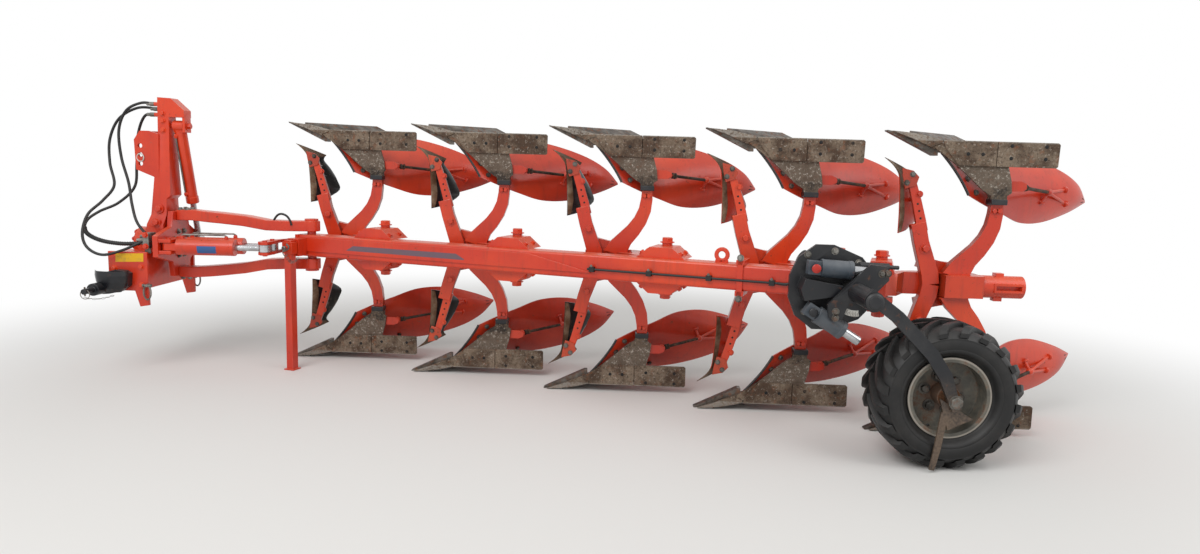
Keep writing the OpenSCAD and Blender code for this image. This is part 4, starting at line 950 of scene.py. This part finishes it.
carcass = [(194.6, -123), (209, -124), (216, -127), (224, -137), (234, -152), (244, -160), (252, -162),
           (256, -160.5), (261, -163.2), (280, -165), (300, -163), (308, -160), (311, -161), (322, -152),
           (336, -136), (346, -112), (350, -80), (351, -30)]
loop = [(a, r) for r, a in carcass] + [(-a, r) for r, a in reversed(carcass)]
revolved(shape, AXLE, (0, 1, 0), loop, 96)
for k in range(BARS):
    for side in (-1, 1):
        start = (k + side * 0.25) * tau / BARS
        rows = []
        for j in range(11):
            a = -4 + j * 165.5 / 10
            slope = (a - 91) / BAR_R
            mid = start - 0.86 * slope + 0.75 * slope * slope
            half = (15 + 7 * (a / SHOULDER)) / BAR_R
            fall = max(a - 96, 0) / (SHOULDER - 96)
            top = TYRE_R - 3.2 * (a / SHOULDER) ** 2 - 30 * fall ** 2.4
            foot = min(346, top - 10) - 12 * fall
            rows.append([tyre_spot(r, mid + w * half, side * min(a, 162.5)) for r, w in
                         ((foot, -1.16), (top, -0.92), (top, 0.92), (foot, 1.16))])
        skin(shape, rows)
piece = to_piece(shape, "tyre_tread", tyre_rubber, "wheel", angle=42)
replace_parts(piece, "tyre")


# Rim: a pressed steel rim with turned lips and a dished disc on six studs; grey paint gone
# brown, rubbed bright along the lips.
def rim_finish(name):
    finish = Finish(name)
    mix, noise = finish.mix, finish.noise
    spread = finish.node("ShaderNodeSeparateXYZ", {}, {0: finish.place}, out="X")
    rise = finish.height()
    beside, over = spread - AXLE.x, rise - AXLE.z
    out = (beside * beside + over * over).root()
    cloud = noise(12.0, 5.0, 0.65)
    grain = noise(90.0, 5.0, 0.65)
    tone = mix(cloud.step(0.35, 0.7), "55534c", "7d786c")
    rust = (cloud + grain * 0.35).step(0.66, 0.86) * 0.75
    tone = mix(rust, tone, mix(grain, "47291a", "80502f"))
    centre = 1.0 - out.step(0.075, 0.125)
    tone = mix(centre * 0.6, tone, "5e3b26")
    lip = out.step(0.198, 0.203) * (0.55 + grain * 0.5)
    tone = mix(lip.under(1.0), tone, "a9a298")
    finish.set(base=tone, rough=(0.5 + rust * 0.3 - lip * 0.15).under(0.95), metal=(lip * 0.7).under(1.0))
    return finish.bump(grain * 0.5 + rust * 0.5, 0.0012, 0.6)


soften("rim", rim_finish("rim_paint"), 2)
for k in range(6):
    a = radians(60 * k + 12)
    bolt("wheel", "big", tyre_spot(92, a, -20.2), LEFT)
    bolt("wheel", "small", tyre_spot(92, a, -7.8), (0, 1, 0))
turned(shape, tyre_spot(183, 1.9, -40), (-0.6, -1, 0.5),
       [(0, 6), (8, 6), (10, 4), (30, 4), (32, 5), (40, 5), (42, 3.5)], 14)
to_piece(shape, "tyre_valve", hose_rubber, "wheel")
turned(shape, AXLE + Vector((0, -0.1205, 0)), LEFT, [(0, 56), (3, 52), (8, 50), (10, 34), (16, 32)], 36)
to_piece(shape, "hub_cap", worn_steel("hub_rust", "6a4b36", "3f2a1e", 0.7, 0.7, 3.0), "wheel", 0.8)

# Bolt heads and nuts: one Geometry Nodes tree sets a washer and a chamfered hexagon on every
# noted point, turned by a fixed random amount; one piece for each body and size.
KINDS = {"tiny": (10, 5, 8), "small": (24, 13, 20), "plate": (24, 13, 20), "rusty": (22, 11, 16),
         "plow": (26, 11, 17), "big": (36, 19, 31), "axle": (54, 13, 36), "pivot": (62, 26, 44)}
zinc_dull = worn_steel("zinc_dull", "7d7a74", "45423e", 0.5, 0.5, 11.0)


def bolt_tree():
    tree = bpy.data.node_groups.new("bolt_heads", "GeometryNodeTree")
    for name, kind in (("Geometry", "Geometry"), ("Across Flats", "Float"), ("Head Height", "Float"),
                       ("Washer Radius", "Float"), ("Spin Seed", "Int"), ("Material", "Material")):
        tree.interface.new_socket(name=name, in_out="INPUT", socket_type="NodeSocket" + kind)
    ports = [item.identifier for item in tree.interface.items_tree]
    tree.interface.new_socket(name="Geometry", in_out="OUTPUT", socket_type="NodeSocketGeometry")
    nodes = Nodes(tree)
    node = nodes.node
    points, flats, tall, radius, seed, material = [
        Amount(nodes, socket) for socket in tree.nodes.new("NodeGroupInput").outputs[:6]]

    def lifted(kind, height, **inputs):
        mesh = node(kind, {}, {key.replace("_", " "): value for key, value in inputs.items()})
        return node("GeometryNodeTransform", {}, {"Geometry": mesh, "Translation": upward(height)})

    def upward(amount):
        return node("ShaderNodeCombineXYZ", {}, {"Z": amount})

    corner, washer_height, body_height = flats / sqrt(3), tall * 0.22, tall * 0.86
    washer = lifted("GeometryNodeMeshCylinder", washer_height * 0.5, Vertices=20, Radius=radius,
                    Depth=washer_height)
    head = lifted("GeometryNodeMeshCylinder", washer_height + body_height * 0.5, Vertices=6, Radius=corner,
                  Depth=body_height)
    crown = lifted("GeometryNodeMeshCone", washer_height + body_height, Vertices=6, Radius_Bottom=corner,
                   Depth=tall * 0.14, Radius_Top=corner * 0.84)
    joined = tree.nodes.new("GeometryNodeJoinGeometry")
    for part in (crown, head, washer):
        nodes.feed(joined.inputs[0], part)
    aim = node("GeometryNodeInputNamedAttribute", {"data_type": "FLOAT_VECTOR"}, {"Name": "aim"})
    turn = node("FunctionNodeAlignRotationToVector", {"axis": "Z"}, {"Vector": aim})
    spin = node("FunctionNodeRandomValue", {"data_type": "FLOAT"}, {3: tau, "Seed": seed}, out=1)
    stood = node("GeometryNodeInstanceOnPoints", {},
                 {"Points": points, "Instance": Amount(nodes, joined.outputs[0]), "Rotation": turn})
    spun = node("GeometryNodeRotateInstances", {}, {"Instances": stood, "Rotation": upward(spin)})
    real = node("GeometryNodeRealizeInstances", {}, {"Geometry": spun})
    done = node("GeometryNodeSetMaterial", {}, {"Geometry": real, "Material": material})
    nodes.feed(tree.nodes.new("NodeGroupOutput").inputs[0], done)
    return tree, ports[1:]


SPIN_SEED = 7
bolt_heads, ports = bolt_tree()
for (body, kind), places in heads.items():
    points = bpy.data.meshes.new("bolt_points")
    points.from_pydata([tuple(at) for at, aim in places], [], [])
    aims = points.attributes.new("aim", "FLOAT_VECTOR", "POINT")
    for k, (at, aim) in enumerate(places):
        aims.data[k].vector = aim.normalized()
    carrier = in_scene("bolt_points", points)
    modifier = carrier.modifiers.new("bolts", "NODES")
    modifier.node_group = bolt_heads
    flats, tall, washer = KINDS[kind]
    material = zinc
    if body == "headstock" or (body == "main_frame" and kind in ("pivot", "plate")):
        material = beam_paint
    elif kind in ("rusty", "plow") or body.startswith("wheel"):
        material = zinc_dull
    elif body.startswith("station"):
        material = leg_paint
    for port, value in zip(ports, (flats / 1000, tall / 1000, washer / 1000, SPIN_SEED, material)):
        modifier[port] = value
    bpy.context.view_layer.update()
    mesh = bpy.data.meshes.new_from_object(carrier.evaluated_get(bpy.context.evaluated_depsgraph_get()))
    bpy.data.objects.remove(carrier)
    piece = in_scene("bolts_%s_%s" % (kind, body), mesh)
    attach(piece, body)

# Floor, background and light: a plain pale floor that keeps the shadows under the plough and
# fades to white behind it, a white sky and two soft panels.
bmesh.ops.create_grid(shape, x_segments=1, y_segments=1, size=60.0)
floor_mesh = bpy.data.meshes.new("floor")
shape.to_mesh(floor_mesh)
floor_finish = Finish("floor_finish")
floor_finish.set(base="e3e2df", rough=0.9)


def white_rays(nodes):
    """1 for the rays that see plain white: straight from the camera, off gloss or through glass."""
    straight, glossy, through = [nodes.node("ShaderNodeLightPath", out="Is %s Ray" % kind)
                                 for kind in ("Camera", "Glossy", "Transmission")]
    return (straight + glossy + through).under(1.0)


ground = floor_finish.node("ShaderNodeVectorMath", {"operation": "LENGTH"}, {0: floor_finish.place}, out=1)
white = floor_finish.node("ShaderNodeEmission")
lit = Amount(floor_finish, floor_finish.shader.outputs[0])
surface = floor_finish.node("ShaderNodeMixShader", {}, {0: ground.step(2.8, 6.2) * white_rays(floor_finish),
                                                        1: lit, 2: white})
floor_finish.feed(floor_finish.tree.nodes["Material Output"].inputs["Surface"], surface)
floor_mesh.materials.append(floor_finish.material)
floor = in_scene("floor", floor_mesh)

world = bpy.data.worlds.new("world")
bpy.context.scene.world = world
world.use_nodes = True
sky = Nodes(world.node_tree)
background = world.node_tree.nodes["Background"].inputs
sky.feed(background["Color"], "ffffff")
SKY_LIGHT = 0.52
sky.feed(background["Strength"], white_rays(sky) * (1.0 - SKY_LIGHT) + SKY_LIGHT)

for name, place, aim, size, power in (("sky_panel", (-3.0, -6.0, 7.0), (0.3, 0.0, 0.7), 5.0, 400.0),
                                      ("rear_panel", (5.5, -3.0, 5.0), (0.5, 0.0, 0.6), 4.0, 110.0)):
    lamp_data = bpy.data.lights.new(name, "AREA")
    lamp_data.size, lamp_data.energy = size, power
    lamp = in_scene(name, lamp_data)
    lamp.location = place
    lamp.rotation_euler = (Vector(aim) - Vector(place)).to_track_quat("-Z", "Y").to_euler()

bpy.context.scene.view_settings.view_transform = "Standard"

bpy.context.view_layer.update()
